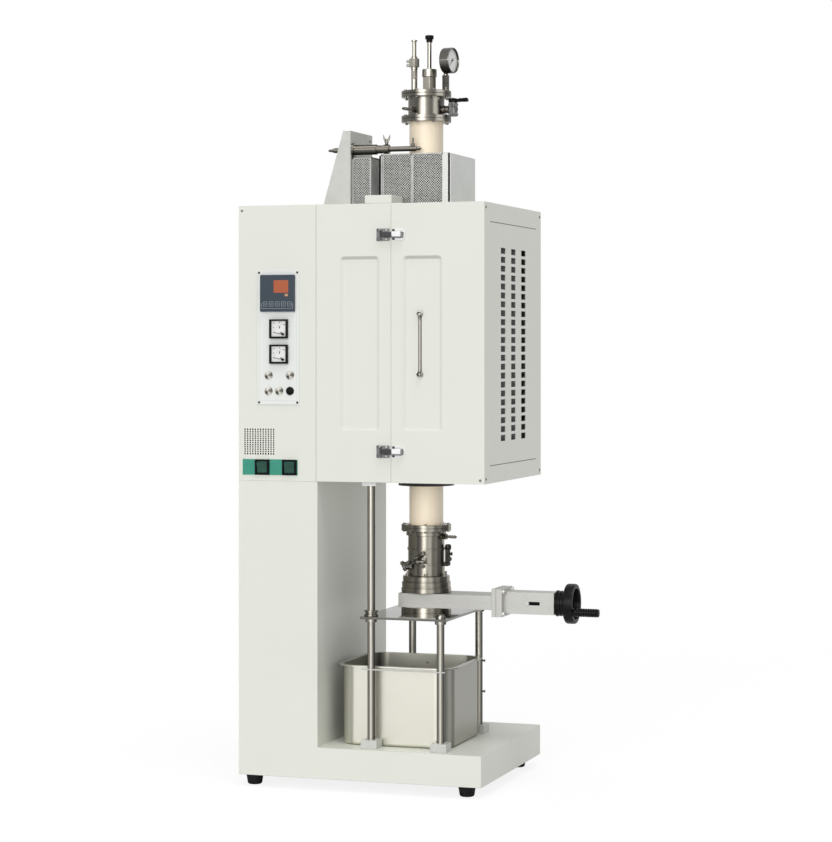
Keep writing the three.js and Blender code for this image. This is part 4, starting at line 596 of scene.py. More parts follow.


# Fibre linings: two bored half blocks, cream inside, with painted shade in near-black where their necks stand out of
# the casings, and heating rods let into the bore's wall.
tube_x, tube_y = 449.5, 211
fibre, fibre_tree, fibre_shader = bare_look("fibre_board")
fill(fibre_shader, {"Roughness": 0.95})
fibre_where = add_node(fibre_tree, "TexCoord")
fibre_split = add_node(fibre_tree, "SeparateXYZ")
# Painted shade: the lining is near-black below 803.5 mm and above 1520.5 mm, where the necks stand out.
fibre_low = add_node(fibre_tree, "Math", {1: 0.8035}, operation="LESS_THAN")
fibre_high = add_node(fibre_tree, "Math", {1: 1.5205}, operation="GREATER_THAN")
neck_shade = add_node(fibre_tree, "Math", operation="MAXIMUM")
fibre_mix = add_node(
    fibre_tree, "Mix", {"A": (0.78, 0.76, 0.70, 1), "B": (0.045, 0.044, 0.042, 1)}, data_type="RGBA")
fibre_fluff = add_node(fibre_tree, "TexNoise", {"Scale": 260})
fibre_bump = add_node(fibre_tree, "Bump", {"Strength": 0.35, "Distance": 0.001})
link_up(
    fibre_tree,
    (fibre_where, "Object", fibre_split, 0), (fibre_split, "Z", fibre_low, 0), (fibre_split, "Z", fibre_high, 0),
    (fibre_low, 0, neck_shade, 0), (fibre_high, 0, neck_shade, 1), (neck_shade, 0, fibre_mix, "Factor"),
    (fibre_mix, "Result", fibre_shader, "Base Color"), (fibre_where, "Object", fibre_fluff, "Vector"),
    (fibre_fluff, "Fac", fibre_bump, "Height"), (fibre_bump, "Normal", fibre_shader, "Normal"),
)
heater = plain("heating_rods", (0.16, 0.13, 0.11), 0.6, metallic=0.3)
heater_ring = 51.2
for side, body, middle in (("left", "frame", 180), ("right", "right_half", 0)):
    finished(softened(f"{side}_fibre", f"{side}_lining", 0), body, "fibre", fibre, f"{side}_lining")
    rods = []
    for step in range(7):
        angle = math.radians(middle - 72 + 24 * step)
        x, y = tube_x + heater_ring * math.cos(angle), tube_y + heater_ring * math.sin(angle)
        rods.append(turned(f"heater_{side}_{step}", [(0, 830), (2, 830), (2, 1494), (0, 1494)], (x, y, 0), steps=10))
    finished(together(f"heating_rods_{side}", *rods), body, "steel", heater)


# Latches across the seam and the hinges behind it: plated steel. Each latch has a base plate with four
# screws, a lever that lies over the seam and a rounded keeper on the right half.
def pick(piece, kind, test):
    """Selects the edges or the faces of a piece that pass a test, and stays in edit mode."""
    bpy.ops.object.mode_set(mode="EDIT")
    bpy.ops.mesh.select_mode(type=kind)
    bpy.ops.mesh.select_all(action="DESELECT")
    bpy.ops.object.mode_set(mode="OBJECT")
    for item in piece.data.edges if kind == "EDGE" else piece.data.polygons:
        item.select = test(item)
    bpy.ops.object.mode_set(mode="EDIT")


def ends_of(piece, line):
    """The two ends of an edge."""
    return [piece.data.vertices[index].co for index in line.vertices]


plated = plain("plated_steel", (0.60, 0.60, 0.59), 0.3, metallic=0.5)
dull_plate = plain("latch_base_plate", (0.20, 0.20, 0.20), 0.4, metallic=0.4)
# Painted shade and highlight: each plated lever is drawn as a near-black knuckle and a white grip, its lower parts in
# the darker base-plate grey; the white also paints highlights on the latch screws and keeper rims, and elsewhere
# serves as white paint.
latch_shade_black = plain("latch_knuckle", (0.045, 0.045, 0.047), 0.35, metallic=0.3, shine=0.3)
white_and_highlight = plain("latch_grip", (0.90, 0.90, 0.89), 0.25, variation=0.02)
for latch, z in (("upper", 1440.5), ("lower", 882)):
    base, lever = f"latch_base_{latch}", f"latch_lever_{latch}"
    finished(softened(f"latch_plate_{latch}", base, 0.5), "frame", "plated", dull_plate, base)
    knuckle = slabs(f"latch_knuckle_{latch}", (
        ((401.5, 430), (-13.2, -4), (z - 6.6, z + 7), 1.6, 3),
        ((399, 404), (-9.4, -4), (z - 4.8, z + 5), 1.4),
    ))
    finished(knuckle, lever, "plated", latch_shade_black, lever)
    hand_piece = slab(f"latch_grip_{latch}", (428, 453), (-13.4, -6), (z - 5.2, z + 8.2), 1.8, 3)
    finished(hand_piece, lever, "plated", white_and_highlight)
    under = slabs(f"latch_under_{latch}", (
        ((430, 454), (-11.8, -5), (z - 8.6, z - 4.2), 1.2, 3),
        ((452.4, 457.6), (-12, -5), (z - 7.4, z + 7.4), 1.2, 3),
    ))
    finished(under, lever, "plated", dull_plate)
    for corner, (x, y, dz) in enumerate((
        (393.5, -2.6, 11.6), (411.5, -4.1, 11.6), (393.5, -2.6, -10.4), (411.5, -4.1, -10.4),
    )):
        screw(f"latch_screw_{latch}_{corner}", 2.6, (x, y, z + dz), "front", "frame", white_and_highlight)
    # Painted shadow: near-black notches at the base plate's left corners and near-black keeper holes.
    for corner, dz in enumerate((12.2, -11.4)):
        notch = slab(f"latch_notch_shadow_{latch}_{corner}", (385.2, 390.2), (-3.2, -2.4), (z + dz - 3.4, z + dz + 3.4), 0.3)
        finished(notch, "frame", "plated", latch_shade_black)
    for name, x, y, half, corner, look in (
        ("rim", (426.6, 462.4), (-3.2, -0.05), 15.2, 0.0125, white_and_highlight),
        ("bed", (426.6, 459), (-3.6, -1), 12.2, 0.0095, plated),
    ):
        keeper = slab(f"keeper_{name}_{latch}", x, y, (z - half, z + half))
        middle = (x[0] + x[1]) / 2000 - middle_x / 1000

        def right_corner(line):
            """Whether an edge runs from front to back at the keeper's right end."""
            a, b = ends_of(keeper, line)
            return abs(a.y - b.y) > 0.001 and a.x > middle

        pick(keeper, "EDGE", right_corner)
        bpy.ops.mesh.bevel(offset=corner, segments=6, affect="EDGES")
        bpy.ops.mesh.select_mode(type="FACE")
        bpy.ops.object.mode_set(mode="OBJECT")
        finished(keeper, "right_half", "plated", look)
    for end, dz in (("top", 11.4), ("foot", -10.8)):
        hole = slab(f"keeper_hole_{latch}_{end}", (427.4, 434.6), (-3.9, -3.3), (z + dz - 3, z + dz + 3), 0.2)
        finished(hole, "right_half", "plated", latch_shade_black)
for hinge in ("upper", "lower"):
    finished(softened(f"hinge_leaf_{hinge}", f"hinge_{hinge}", 0.4), "frame", "steel", plated, f"hinge_{hinge}")


# Door handle: a satin stainless bar bent through two round corners, standing on two washers
# in the floor of the right half's sunk panel.
# Painted reflection: the bar's tone goes round it in bands of highlight and shade.
satin = painted_reflection_bands("satin_bar", (
    (-180, 0.10), (-140, 0.22), (-112, 0.12), (-88, 0.50), (-70, 0.36), (-44, 0.10), (0, 0.2), (90, 0.2), (150, 0.2),
), 0.36, flat=0.3, grain=0.0)
handle_x, handle_bend_y = 500, -9
bpy.ops.object.select_all(action="DESELECT")
bpy.ops.mesh.primitive_circle_add(
    vertices=24, radius=0.005, location=mm(handle_x, 4.6, 1081), rotation=(math.pi / 2, 0, 0))
handle = settled(bpy.context.object)
handle.name = "handle_bar"
bpy.ops.object.mode_set(mode="EDIT")
bpy.ops.mesh.select_all(action="SELECT")
bpy.ops.mesh.extrude_region_move(TRANSFORM_OT_translate={"value": (0, -0.0136, 0)})
bpy.ops.mesh.spin(steps=10, angle=math.pi / 2, center=mm(handle_x, handle_bend_y, 1097), axis=(-1, 0, 0))
bpy.ops.mesh.extrude_region_move(TRANSFORM_OT_translate={"value": (0, 0, 0.124)})
bpy.ops.mesh.spin(steps=10, angle=math.pi / 2, center=mm(handle_x, handle_bend_y, 1221), axis=(-1, 0, 0))
bpy.ops.mesh.extrude_region_move(TRANSFORM_OT_translate={"value": (0, 0.0136, 0)})
bpy.ops.mesh.select_all(action="SELECT")
bpy.ops.mesh.remove_doubles(threshold=0.000002)
bpy.ops.mesh.normals_make_consistent(inside=False)
bpy.ops.object.mode_set(mode="OBJECT")
washers = [turned(f"handle_washer_{z}", [
    (0, 1.7), (8.0, 1.7), (8.5, 2.2), (8.5, 4.7), (0, 4.7),
], (handle_x, 0, z), "Y", 32) for z in (1081, 1237)]
finished(together("handle", handle, *washers), "right_half", "steel", satin, "door_handle")


# Guards on the housing's top: half cages of perforated stainless sheet with plain tops, and a narrow one
# over the left terminals. The right cage has a bright folded flange and a plain side panel.
def perforated(name, x, y, z, hole=3.5, pitch=4.7):
    """A sheet of staggered holes on a plane square to Y or X, made from one turned grid and trimmed."""
    bpy.ops.object.select_all(action="DESELECT")
    faces_front = x[1] - x[0] > y[1] - y[0]
    wide = (x[1] - x[0]) if faces_front else (y[1] - y[0])
    high = z[1] - z[0]
    count = int(((wide + high) / math.sqrt(2) + 2 * pitch) / pitch)
    bpy.ops.mesh.primitive_grid_add(x_subdivisions=count, y_subdivisions=count, size=count * pitch / 1000)
    piece = bpy.context.object
    piece.name = name
    piece.rotation_euler = (0, 0, math.pi / 4)
    settled(piece)
    bpy.ops.object.mode_set(mode="EDIT")
    for axis, reach in (((1, 0, 0), wide), ((-1, 0, 0), wide), ((0, 1, 0), high), ((0, -1, 0), high)):
        bpy.ops.mesh.select_all(action="SELECT")
        bpy.ops.mesh.bisect(plane_co=[part * reach / 2000 for part in axis], plane_no=axis, clear_outer=True)
    bpy.ops.mesh.select_all(action="SELECT")
    bpy.ops.mesh.inset(thickness=(pitch - hole) / 2000, use_individual=True)
    bpy.ops.mesh.delete(type="FACE")
    bpy.ops.mesh.select_all(action="DESELECT")
    bpy.ops.object.mode_set(mode="OBJECT")
    skin = piece.modifiers.new("skin", "SOLIDIFY")
    skin.thickness = 0.0012
    skin.offset = 0
    bpy.ops.object.modifier_apply(modifier="skin")
    piece.rotation_euler = (math.pi / 2, 0, 0 if faces_front else math.pi / 2)
    piece.location = mm(*[sum(span) / 2 for span in (x, y, z)])
    return settled(piece)


sheet_steel = plain("guard_sheet", (0.56, 0.56, 0.535), 0.42, metallic=0.3, variation=0.12, scale=18)
# Painted shade: the near-black sheets inside the guards stand for their dark insides, seen through the holes.
guard_shade_sheet = plain("guard_painted_shade", (0.014, 0.0135, 0.012), 0.8, variation=0.2, scale=40, shine=0.1)
bright_sheet = plain("guard_flange", (0.70, 0.71, 0.685), 0.4, metallic=0.15, variation=0.05, scale=14)
strip_sheet = plain("guard_strip", (0.50, 0.50, 0.475), 0.4, metallic=0.2, variation=0.15, scale=60)


def guard_top(name, x):
    """A cage's plain top sheet with a half-round notch for the tube."""
    top_sheet = slab(name, x, (101.1, 324.8), (1655.9, 1657.2), 0.3)
    bpy.ops.object.select_all(action="DESELECT")
    bpy.ops.mesh.primitive_cylinder_add(vertices=64, radius=0.050, depth=0.02, location=mm(tube_x, tube_y, 1657.2))
    round_cut = bpy.context.object
    notching = top_sheet.modifiers.new("notch", "BOOLEAN")
    notching.operation = "DIFFERENCE"
    notching.object = round_cut
    alone(top_sheet)
    bpy.ops.object.modifier_apply(modifier="notch")
    bpy.data.objects.remove(round_cut)
    return top_sheet


holes_high = (1524, 1654)
shade_sheet_high = (1523, 1655.4)
edge_high, foot_edge, head_edge = (1522.4, 1656.5), (1522.4, 1525.5), (1652.5, 1656.5)
front_hole, rear_hole = (101.1, 102.3), (323.6, 324.8)
front_edge, rear_edge, side_edge = (101.1, 102.5), (323.4, 324.8), (101.1, 324.8)
left_sheet = [
    perforated("cage_left_front", (362, 444), front_hole, holes_high),
    perforated("cage_left_side", (366.1, 367.3), (104, 322), holes_high),
    perforated("cage_left_rear", (368, 444), rear_hole, holes_high),
    slabs("cage_left_edges", (
        ((360.6, 363.4), front_edge, edge_high), ((443, 445.6), front_edge, edge_high),
        ((360.6, 445.6), front_edge, foot_edge), ((360.6, 445.6), front_edge, head_edge),
        ((366.1, 367.5), (101.1, 106), edge_high), ((366.1, 367.5), (320, 324.8), edge_high),
        ((366.1, 367.5), side_edge, foot_edge), ((366.1, 367.5), side_edge, head_edge),
        ((366.1, 369.5), rear_edge, edge_high), ((443, 445.6), rear_edge, edge_high),
        ((366.1, 445.6), rear_edge, foot_edge), ((366.1, 445.6), rear_edge, head_edge),
    )),
    guard_top("cage_left_top", (366.1, 445.6)),
]
finished(together("cage_left_sheet", *left_sheet), "frame", "steel", sheet_steel, "cage_left")
# Painted shade: near-black sheets just inside the left cage's walls.
left_shade_sheets = slabs("cage_left_shade_sheets", (
    ((361, 445), (104.5, 105.1), shade_sheet_high), ((370, 370.6), (105, 321), shade_sheet_high),
    ((369, 443), (320.8, 321.4), shade_sheet_high),
))
finished(left_shade_sheets, "frame", "steel", guard_shade_sheet)
right_sheet = [
    perforated("cage_right_front", (449, 529), front_hole, holes_high),
    perforated("cage_right_rear", (449, 545), rear_hole, holes_high),
    slabs("cage_right_edges", [(x, y, z) for y in (front_edge, rear_edge) for x, z in (
        ((446.4, 450.5), edge_high), ((528, 532), edge_high),
        ((446.4, 532), foot_edge), ((446.4, 532), head_edge),
    )]),
    guard_top("cage_right_top", (446.4, 545)),
]
finished(together("cage_right_sheet", *right_sheet), "right_half", "steel", sheet_steel, "cage_right")
# Painted shade: near-black sheets just inside the right cage's front and rear.
right_shade_sheets = slabs("cage_right_shade_sheets", (
    ((447.5, 531), (104.5, 105.1), shade_sheet_high), ((447.5, 544), (320.8, 321.4), shade_sheet_high),
))
finished(right_shade_sheets, "right_half", "steel", guard_shade_sheet)
for name, x, y, z, edge, look in (
    ("cage_seam_strip", (446.4, 449.4), (100.6, 101.3), (1522.4, 1656.4), 0.2, strip_sheet),
    ("cage_right_flange", (530.5, 544.5), (101.0, 104), (1522.4, 1656.4), 0.5, bright_sheet),
    ("cage_right_panel", (547.5, 549.9), (108, 324.9), (1522.4, 1655.5), 0.6, bright_sheet),
):
    finished(slab(name, x, y, z, edge), "right_half", "steel", look)
# Painted shadow: a near-black sheet fills the gap between the flange and the side panel.
gap_shadow = slab("cage_right_gap_shadow", (544.5, 547.4), (107, 300), (1522.4, 1655.0))
finished(gap_shadow, "right_half", "black_plastic", shadow_black)

holes_high, shade_sheet_high = (1524, 1650), (1523, 1651)
post_high, foot_edge, head_edge = (1522.4, 1653), (1522.4, 1525), (1649, 1653)
front_edge, rear_edge, side_edge, across = (137.1, 138.5), (295.5, 296.9), (137.1, 296.9), (267.6, 319.9)
guard_sheet = [
    perforated("guard_front", (270, 318), (137.1, 138.3), holes_high),
    perforated("guard_rear", (270, 318), (295.7, 296.9), holes_high),
    perforated("guard_left", (267.6, 268.8), (140, 294), holes_high),
    slabs("guard_edges", (
        ((267.6, 271), front_edge, post_high), ((316, 319.9), front_edge, post_high),
        (across, front_edge, foot_edge), (across, front_edge, head_edge),
        ((267.6, 271), rear_edge, post_high), ((316, 319.9), rear_edge, post_high),
        ((318.5, 319.9), side_edge, foot_edge), ((318.5, 319.9), side_edge, head_edge),
        ((267.6, 269), side_edge, foot_edge), ((267.6, 269), side_edge, head_edge),
        (across, side_edge, (1651.8, 1653.2)),
    )),
]
guard_right = perforated("guard_right", (318.7, 319.9), (140, 201), holes_high, hole=2.8)
finished(together("terminal_guard_sheet", *guard_sheet), "frame", "steel", sheet_steel, "terminal_guard")
# Painted light: the terminal guard's right side takes the bright white, lighter than the rest of its sheet.
finished(guard_right, "frame", "steel", white_and_highlight)
# Painted shade: near-black walls inside the terminal guard, and two near-black strips between it and the left cage.
guard_shade_walls = slabs("terminal_guard_shade_walls", (
    ((271.6, 272.2), (142, 293), shade_sheet_high), ((271, 316), (292.6, 293.2), shade_sheet_high),
    ((314.6, 315.2), (141, 202), shade_sheet_high), ((317.2, 318.6), (202, 294), shade_sheet_high),
    ((269, 317), (141, 141.6), shade_sheet_high), ((321.5, 359), (199, 203), (1522.4, 1661)),
    ((298, 359), (285, 288), (1640, 1665)),
))
finished(guard_shade_walls, "frame", "steel", guard_shade_sheet)
corner_strip = slab("guard_corner_strip", (317.4, 320), (136.9, 137.4), (1522.4, 1652.8), 0.1)
finished(corner_strip, "frame", "steel", strip_sheet)
# Painted shadow: near-black strips at the foot of the cages' fronts, either side of the seam.
for side, x, body in (("left", (426, 445.4), "frame"), ("right", (446.8, 462), "right_half")):
    finished(slab(f"cage_foot_shadow_{side}", x, (100.6, 101.0), (1524, 1529.5)), body, "black_plastic", shadow_black)


# Arm bracket: sawn aluminium plate, bead blasted, with a turned stainless sleeve screwed to it.
# A sliding rod with a stop pin runs through the sleeve and a wing screw clamps it.
blasted = plain("blasted_plate", (0.53, 0.535, 0.50), 0.42, metallic=0.25, variation=0.05, scale=30)
# Painted reflections: the sleeve and the rod darken and brighten in bands round their axis.
arm_steel = painted_reflection_bands("arm_steel", (
    (-180, 0.17), (-165, 0.13), (-145, 0.05), (-120, 0.02), (-60, 0.06), (0, 0.35), (40, 0.15), (90, 0.02),
    (118, 0.04), (134, 0.08), (144, 0.5), (152, 0.5), (162, 0.14), (172, 0.15),
), 0.26, around="X", flat=0.3, tint=(1.06, 1.0, 0.86), grain=0.0)
finished(softened("bracket_plates", "arm_bracket", 0.4), "frame", "steel", blasted, "arm_bracket")
arm_y, arm_z = 147, 1673
sleeve = turned("bracket_sleeve", [
    (7.6, -0.5), (18.8, -0.5), (18.8, 4.2), (13.6, 4.4), (13.5, 66), (12.6, 67.2), (10.9, 67.4), (10.8, 86),
    (12.5, 86.2), (12.5, 100.6), (12, 101.2), (7.6, 101.2), (7.6, -0.5),
], (267.3, arm_y, arm_z), "X", 48)
finished(sleeve, "frame", "steel", arm_steel)
arm = turned("sliding_arm", [
    (0, 196), (1.2, 196.4), (3.6, 201), (3.8, 208), (5.2, 208.5), (5.4, 214), (6.9, 214.5), (6.9, 443), (6.3, 444),
    (4.3, 444.2), (4.3, 449), (5.4, 449.4), (5.4, 450.5), (1.0, 457.4), (0, 457.9),
], (0, arm_y, arm_z), "X", 32)
pin = turned("stop_pin", [
    (0, -8.9), (2.4, -8.9), (2.5, -8), (2.5, 7), (5, 7.2), (5, 14), (2.6, 14.2), (2.6, 28), (2.1, 28.9), (0, 28.9),
], (434, arm_y, arm_z), "Z", 24)
finished(together("sliding_arm", arm, pin), "arm_rod", "steel", arm_steel, "arm_rod")
wing_steel = plain("wing_steel", (0.24, 0.23, 0.20), 0.34, metallic=0.9, variation=0.4, scale=120)
finished(softened("wing_clamp", "wing_screw", 0.5), "wing_screw", "steel", wing_steel, "wing_screw")
screw("bracket_screw", 4.2, (267.1, 277, 1706), "right", "frame")


# Work tube: slip-cast alumina, cream with a warm cast and a dry sheen, open at both ends. Its tone is painted in
# bands, a highlight towards the front and shade at its sides, and a faint painted glow lifts it out of the housing's
# shade.
alumina = painted_reflection_bands("alumina_tube", (
    (-180, 0.60), (-155, 0.60), (-138, 0.66), (-120, 0.78), (-100, 0.90), (-84, 0.95), (-70, 1.0), (-62, 0.97),
    (-50, 0.88), (-34, 0.74), (-16, 0.62), (5, 0.58), (60, 0.8), (120, 0.8),
), 0.4, flat=0.85, tint=(0.97, 0.84, 0.645), metallic=0.0, grain=0.02)
# Painted glow: a faint emission brightens the whole tube.
fill(alumina.node_tree.nodes["Principled BSDF"], {
    "Coat Weight": 0.4, "Coat Roughness": 0.28, "Emission Color": (1.0, 0.86, 0.66, 1), "Emission Strength": 0.15,
})
tube_axis = (tube_x, tube_y, 0)
tube = turned("ceramic_tube", [
    (40, 650), (44.4, 650), (44.95, 650.6), (44.95, 1767.4), (44.4, 1768), (40, 1768), (40, 650),
], tube_axis, steps=96)
finished(tube, "frame", "alumina", alumina, "work_tube")


# Top head: turned stainless steel with lathe marks and broad soft bands of painted reflection, highlight and shade,
# round it.
# Its flanges are bolted in pairs, with a dark seal between them, and a hose tail stands out of its wall.
def six_sided(radius, x, y, low, high, turn=0.0, edge=0.0):
    """A hexagon between two levels, given by the radius of its corners, with its edges bevelled."""
    bpy.ops.object.select_all(action="DESELECT")
    bpy.ops.mesh.primitive_cylinder_add(
        vertices=6, radius=radius / 1000, depth=(high - low) / 1000, location=mm(x, y, (low + high) / 2),
        rotation=(0, 0, turn))
    piece = settled(bpy.context.object)
    return rounded(piece, edge) if edge else piece


def bolts(name, count, ring, first, low, high, radius):
    """Hexagon heads on a ring round the tube, between two levels."""
    turns = [math.radians(first + 360 / count * step) for step in range(count)]
    return together(name, *[
        six_sided(radius, tube_x + ring * math.cos(turn), tube_y + ring * math.sin(turn), low, high, turn, 0.6)
        for turn in turns])


def stood(piece, x, y, z, turn=0, tip=0):
    """Stands a piece, drawn round the frame's origin, at a place, tipped round X and turned round Z by degrees."""
    piece.rotation_euler = (math.radians(tip), 0, math.radians(turn))
    piece.location = mm(x, y, z)
    return piece


# Painted reflections: soft bright and dark bands round the head.
head_steel = painted_reflection_bands("upper_head_steel", (
    (-180, 0.2), (-158, 0.12), (-140, 0.14), (-118, 0.15), (-100, 0.11), (-89, 0.34), (-81, 0.5), (-72, 0.26),
    (-54, 0.16), (-44, 0.5), (-34, 0.52), (-20, 0.10), (10, 0.12), (45, 0.6), (80, 0.18), (120, 0.45), (150, 0.2),
), 0.3, flat=0.3, tint=(1.06, 1.0, 0.87), grain=0.03)
bolt_steel = plain("bolt_steel", (0.26, 0.245, 0.215), 0.26, metallic=1.0, variation=0.5, scale=260)
top_body = turned("top_head_turning", [
    (41, 1769), (45.3, 1769), (45.3, 1746.1), (65.4, 1746.1), (66, 1746.7), (66, 1753.4), (65.4, 1754), (63.6, 1754),
    (63.6, 1755), (65.4, 1755), (66, 1755.6), (66, 1762.4), (65.4, 1763), (50, 1763), (48, 1764.5), (48, 1809.5),
    (49.5, 1811.8), (65.4, 1812), (66, 1812.6), (66, 1819.2), (65.4, 1819.9), (41, 1819.9), (41, 1769),
], tube_axis, steps=96)
finished(top_body, "frame", "steel", head_steel, "top_head")
finished(bolts("top_lower_bolts", 8, 58.5, -8, 1742.2, 1766.4, 4.0), "frame", "steel", bolt_steel)
finished(bolts("top_upper_bolts", 8, 58.5, -8, 1807.6, 1832.2, 4.0), "frame", "steel", bolt_steel)
origin, tail_root = (middle_x, middle_y, 0), 47


def hose_tail(name, azimuth, z):
    """A welded boss, a hexagon and a barbed tail, drawn along X and stood on a head's wall."""
    boss = turned(name + "_boss", [(0, 0), (7, 0), (7, 9), (6.2, 10), (0, 10)], origin, "X", 32)
    bpy.ops.object.select_all(action="DESELECT")
    bpy.ops.mesh.primitive_cylinder_add(
        vertices=6, radius=0.0085, depth=0.009, location=(0.0125, 0, 0), rotation=(0, math.pi / 2, 0))
    nut = settled(bpy.context.object)
    tail = turned(name + "_tail", [
        (0, 17), (3.4, 17), (3.3, 26), (4.4, 27), (3.3, 33), (4.4, 34), (3.3, 40), (4.4, 41), (3.4, 46.5),
        (1.8, 47), (1.8, 38), (0, 38),
    ], origin, "X", 24)
    turn = math.radians(azimuth)
    x, y = tube_x + tail_root * math.cos(turn), tube_y + tail_root * math.sin(turn)
    return stood(together(name, boss, nut, tail), x, y, z, azimuth)


finished(hose_tail("top_hose_tail", -113, 1777), "frame", "steel", bolt_steel)


# Ball valve on the top head: a nickel-plated body on a short stub, with a black dipped lever.
# It is drawn along X and turned a little towards the front.
def near(name, x, y, z, edge=0.0, segments=2):
    """A block whose levels are counted from the frame's origin."""
    return slab(name, (middle_x + x[0], middle_x + x[1]), (middle_y + y[0], middle_y + y[1]), z, edge, segments)


valve_grey = plain("ball_valve_plating", (0.20, 0.20, 0.195), 0.3, metallic=0.9, variation=0.5, scale=110)
lever_black = plain("lever_black", (0.004, 0.004, 0.004), 0.3, shine=0.12)
valve_turn, valve_z = -10, 1778
stub = turned("valve_stub", [
    (0, 46), (8, 46), (8, 52), (10.8, 52.5), (10.8, 59), (8.6, 59.5), (8.6, 64), (10, 64.4), (10, 71), (0, 71),
], origin, "X", 32)
finished(stood(stub, tube_x, tube_y, valve_z, valve_turn), "frame", "steel", bolt_steel)
valve_core = together(
    "ball_valve_block",
    near("valve_core", (72, 89), (-10.5, 10.5), (-19, 19), 2.5, 3),
    near("valve_rib_a", (70.6, 90), (-11.2, 11.2), (10, 15), 0.8),
    near("valve_rib_b", (70.6, 90), (-11.2, 11.2), (-16, -11), 0.8),
    turned("valve_mouth", [(0, 88), (7.5, 88), (7.5, 90.4), (6, 90.8), (5.8, 88.5), (0, 88.5)], origin, "X", 32),
    turned("valve_spindle", [
        (0, 18), (7, 18), (7, 22), (4, 22.6), (4, 30), (0, 30),
    ], (middle_x + 78.3, middle_y, 0), "Z", 24),
)
valve_core = stood(valve_core, tube_x, tube_y, valve_z, valve_turn)
finished(valve_core, "frame", "steel", valve_grey, "ball_valve_body")
grip = turned("ball_valve_grip", [
    (0, 96), (4.6, 96.6), (5.2, 99), (5.0, 108), (5.8, 116), (5.2, 121.5), (2.6, 123.8), (0, 124),
], origin, "X", 28)
grip = settled(stood(grip, tube_x, tube_y, 1801.4, valve_turn))
lever = settled(softened("ball_valve_handle", "ball_valve_lever", 1.8, 3))
lever = together("ball_valve_handle", lever, grip)
finished(lever, "ball_valve_lever", "black_plastic", lever_black, "ball_valve_lever")


# Lid and its ports: a flange with a welded tube port and compression nut, and the sliding rod's long gland.
# Both ports have hexagons for a wrench, and two screws hold the port's nut.
# Painted reflections: bright and dark bands round the ports.
port_steel = painted_reflection_bands("port_steel", (
    (-180, 0.26), (-150, 0.13), (-128, 0.30), (-112, 0.36), (-96, 0.42), (-82, 0.62), (-70, 0.55), (-52, 0.26),
    (-34, 0.30), (-18, 0.12), (15, 0.3), (60, 0.2), (100, 0.5), (140, 0.2),
), 0.32, flat=0.34, tint=(1.06, 1.0, 0.86), grain=0.0)
port_x, port_y, gland_x, gland_y = 417.5, 206, 453.5, 225
lid = turned("lid_flange", [
    (0, 1820.5), (65.4, 1820.5), (66, 1821.1), (66, 1828.0), (65.3, 1828.7), (0, 1828.7),
], tube_axis, steps=96)
finished(lid, "frame", "steel", head_steel, "top_lid")
ports = [
    turned("tube_port", [
        (0, 1828.5), (10.5, 1828.5), (10.5, 1831), (7.9, 1834), (7.9, 1886), (9, 1887), (9, 1893), (11.4, 1895),
        (12, 1897), (12, 1912), (11.5, 1916), (8, 1918), (8, 1921), (5.5, 1923), (5.5, 1961.2), (7.8, 1962),
        (7.8, 1965.2), (5.6, 1965.7), (3.4, 1965.7), (3.4, 1950), (0, 1950),
    ], (port_x, port_y, 0), steps=40),
    turned("rod_gland", [
        (5.9, 1828.5), (20.4, 1828.5), (20.4, 1831.4), (16.4, 1832.2), (16.4, 1868), (19.6, 1869), (19.6, 1886.5),
        (18.6, 1888.5), (5.9, 1888.6), (5.9, 1828.5),
    ], (gland_x, gland_y, 0), steps=48),
]
for z in (1910, 1899):
    ports.append(turned(f"tube_port_screw_{z}", [
        (0, -21), (3.6, -21), (3.9, -20), (3.9, -12), (0, -12),
    ], (port_x, port_y, z), "X", 20))
for radius, x, y, low, high in (
    (15.4, port_x, port_y, 1894, 1915), (9.6, port_x, port_y, 1862, 1884), (19.6, gland_x, gland_y, 1835, 1868),
):
    ports.append(six_sided(radius, x, y, low, high, math.radians(18), 0.8))
finished(together("lid_ports", *ports), "frame", "steel", port_steel)


# Sample rod: a ground stainless rod that hangs through the gland down into the tube.
# It has a black moulded knob on a short neck.
# Painted reflections: a bright band towards the front and dark bands at the sides of each rod.
rod_steel = painted_reflection_bands("ground_rod", (
    (-180, 0.10), (-155, 0.05), (-138, 0.10), (-122, 0.30), (-104, 0.22), (-88, 0.44), (-76, 0.74), (-64, 0.5),
    (-50, 0.24), (-34, 0.14), (-20, 0.06), (15, 0.12), (60, 0.4), (90, 0.12), (125, 0.4), (160, 0.12),
), 0.3, flat=0.3, tint=(1.05, 1.0, 0.88), grain=0.0)
rod = turned("sample_rod_bar", [
    (0, 1230), (4.2, 1230), (4.2, 1600), (5.6, 1601), (5.6, 1961), (0, 1961),
], (gland_x, gland_y, 0), steps=32)
finished(rod, "sample_rod", "steel", rod_steel, "sample_rod")
knob = turned("sample_rod_knob", [
    (0, 1960.6), (8.4, 1960.6), (8.4, 1967.6), (10.6, 1968.6), (11.4, 1970), (11.4, 1977), (10.4, 1978.6),
    (0, 1978.9),
], (gland_x, gland_y, 0), steps=40)
finished(knob, "sample_rod", "black_plastic", lever_black)


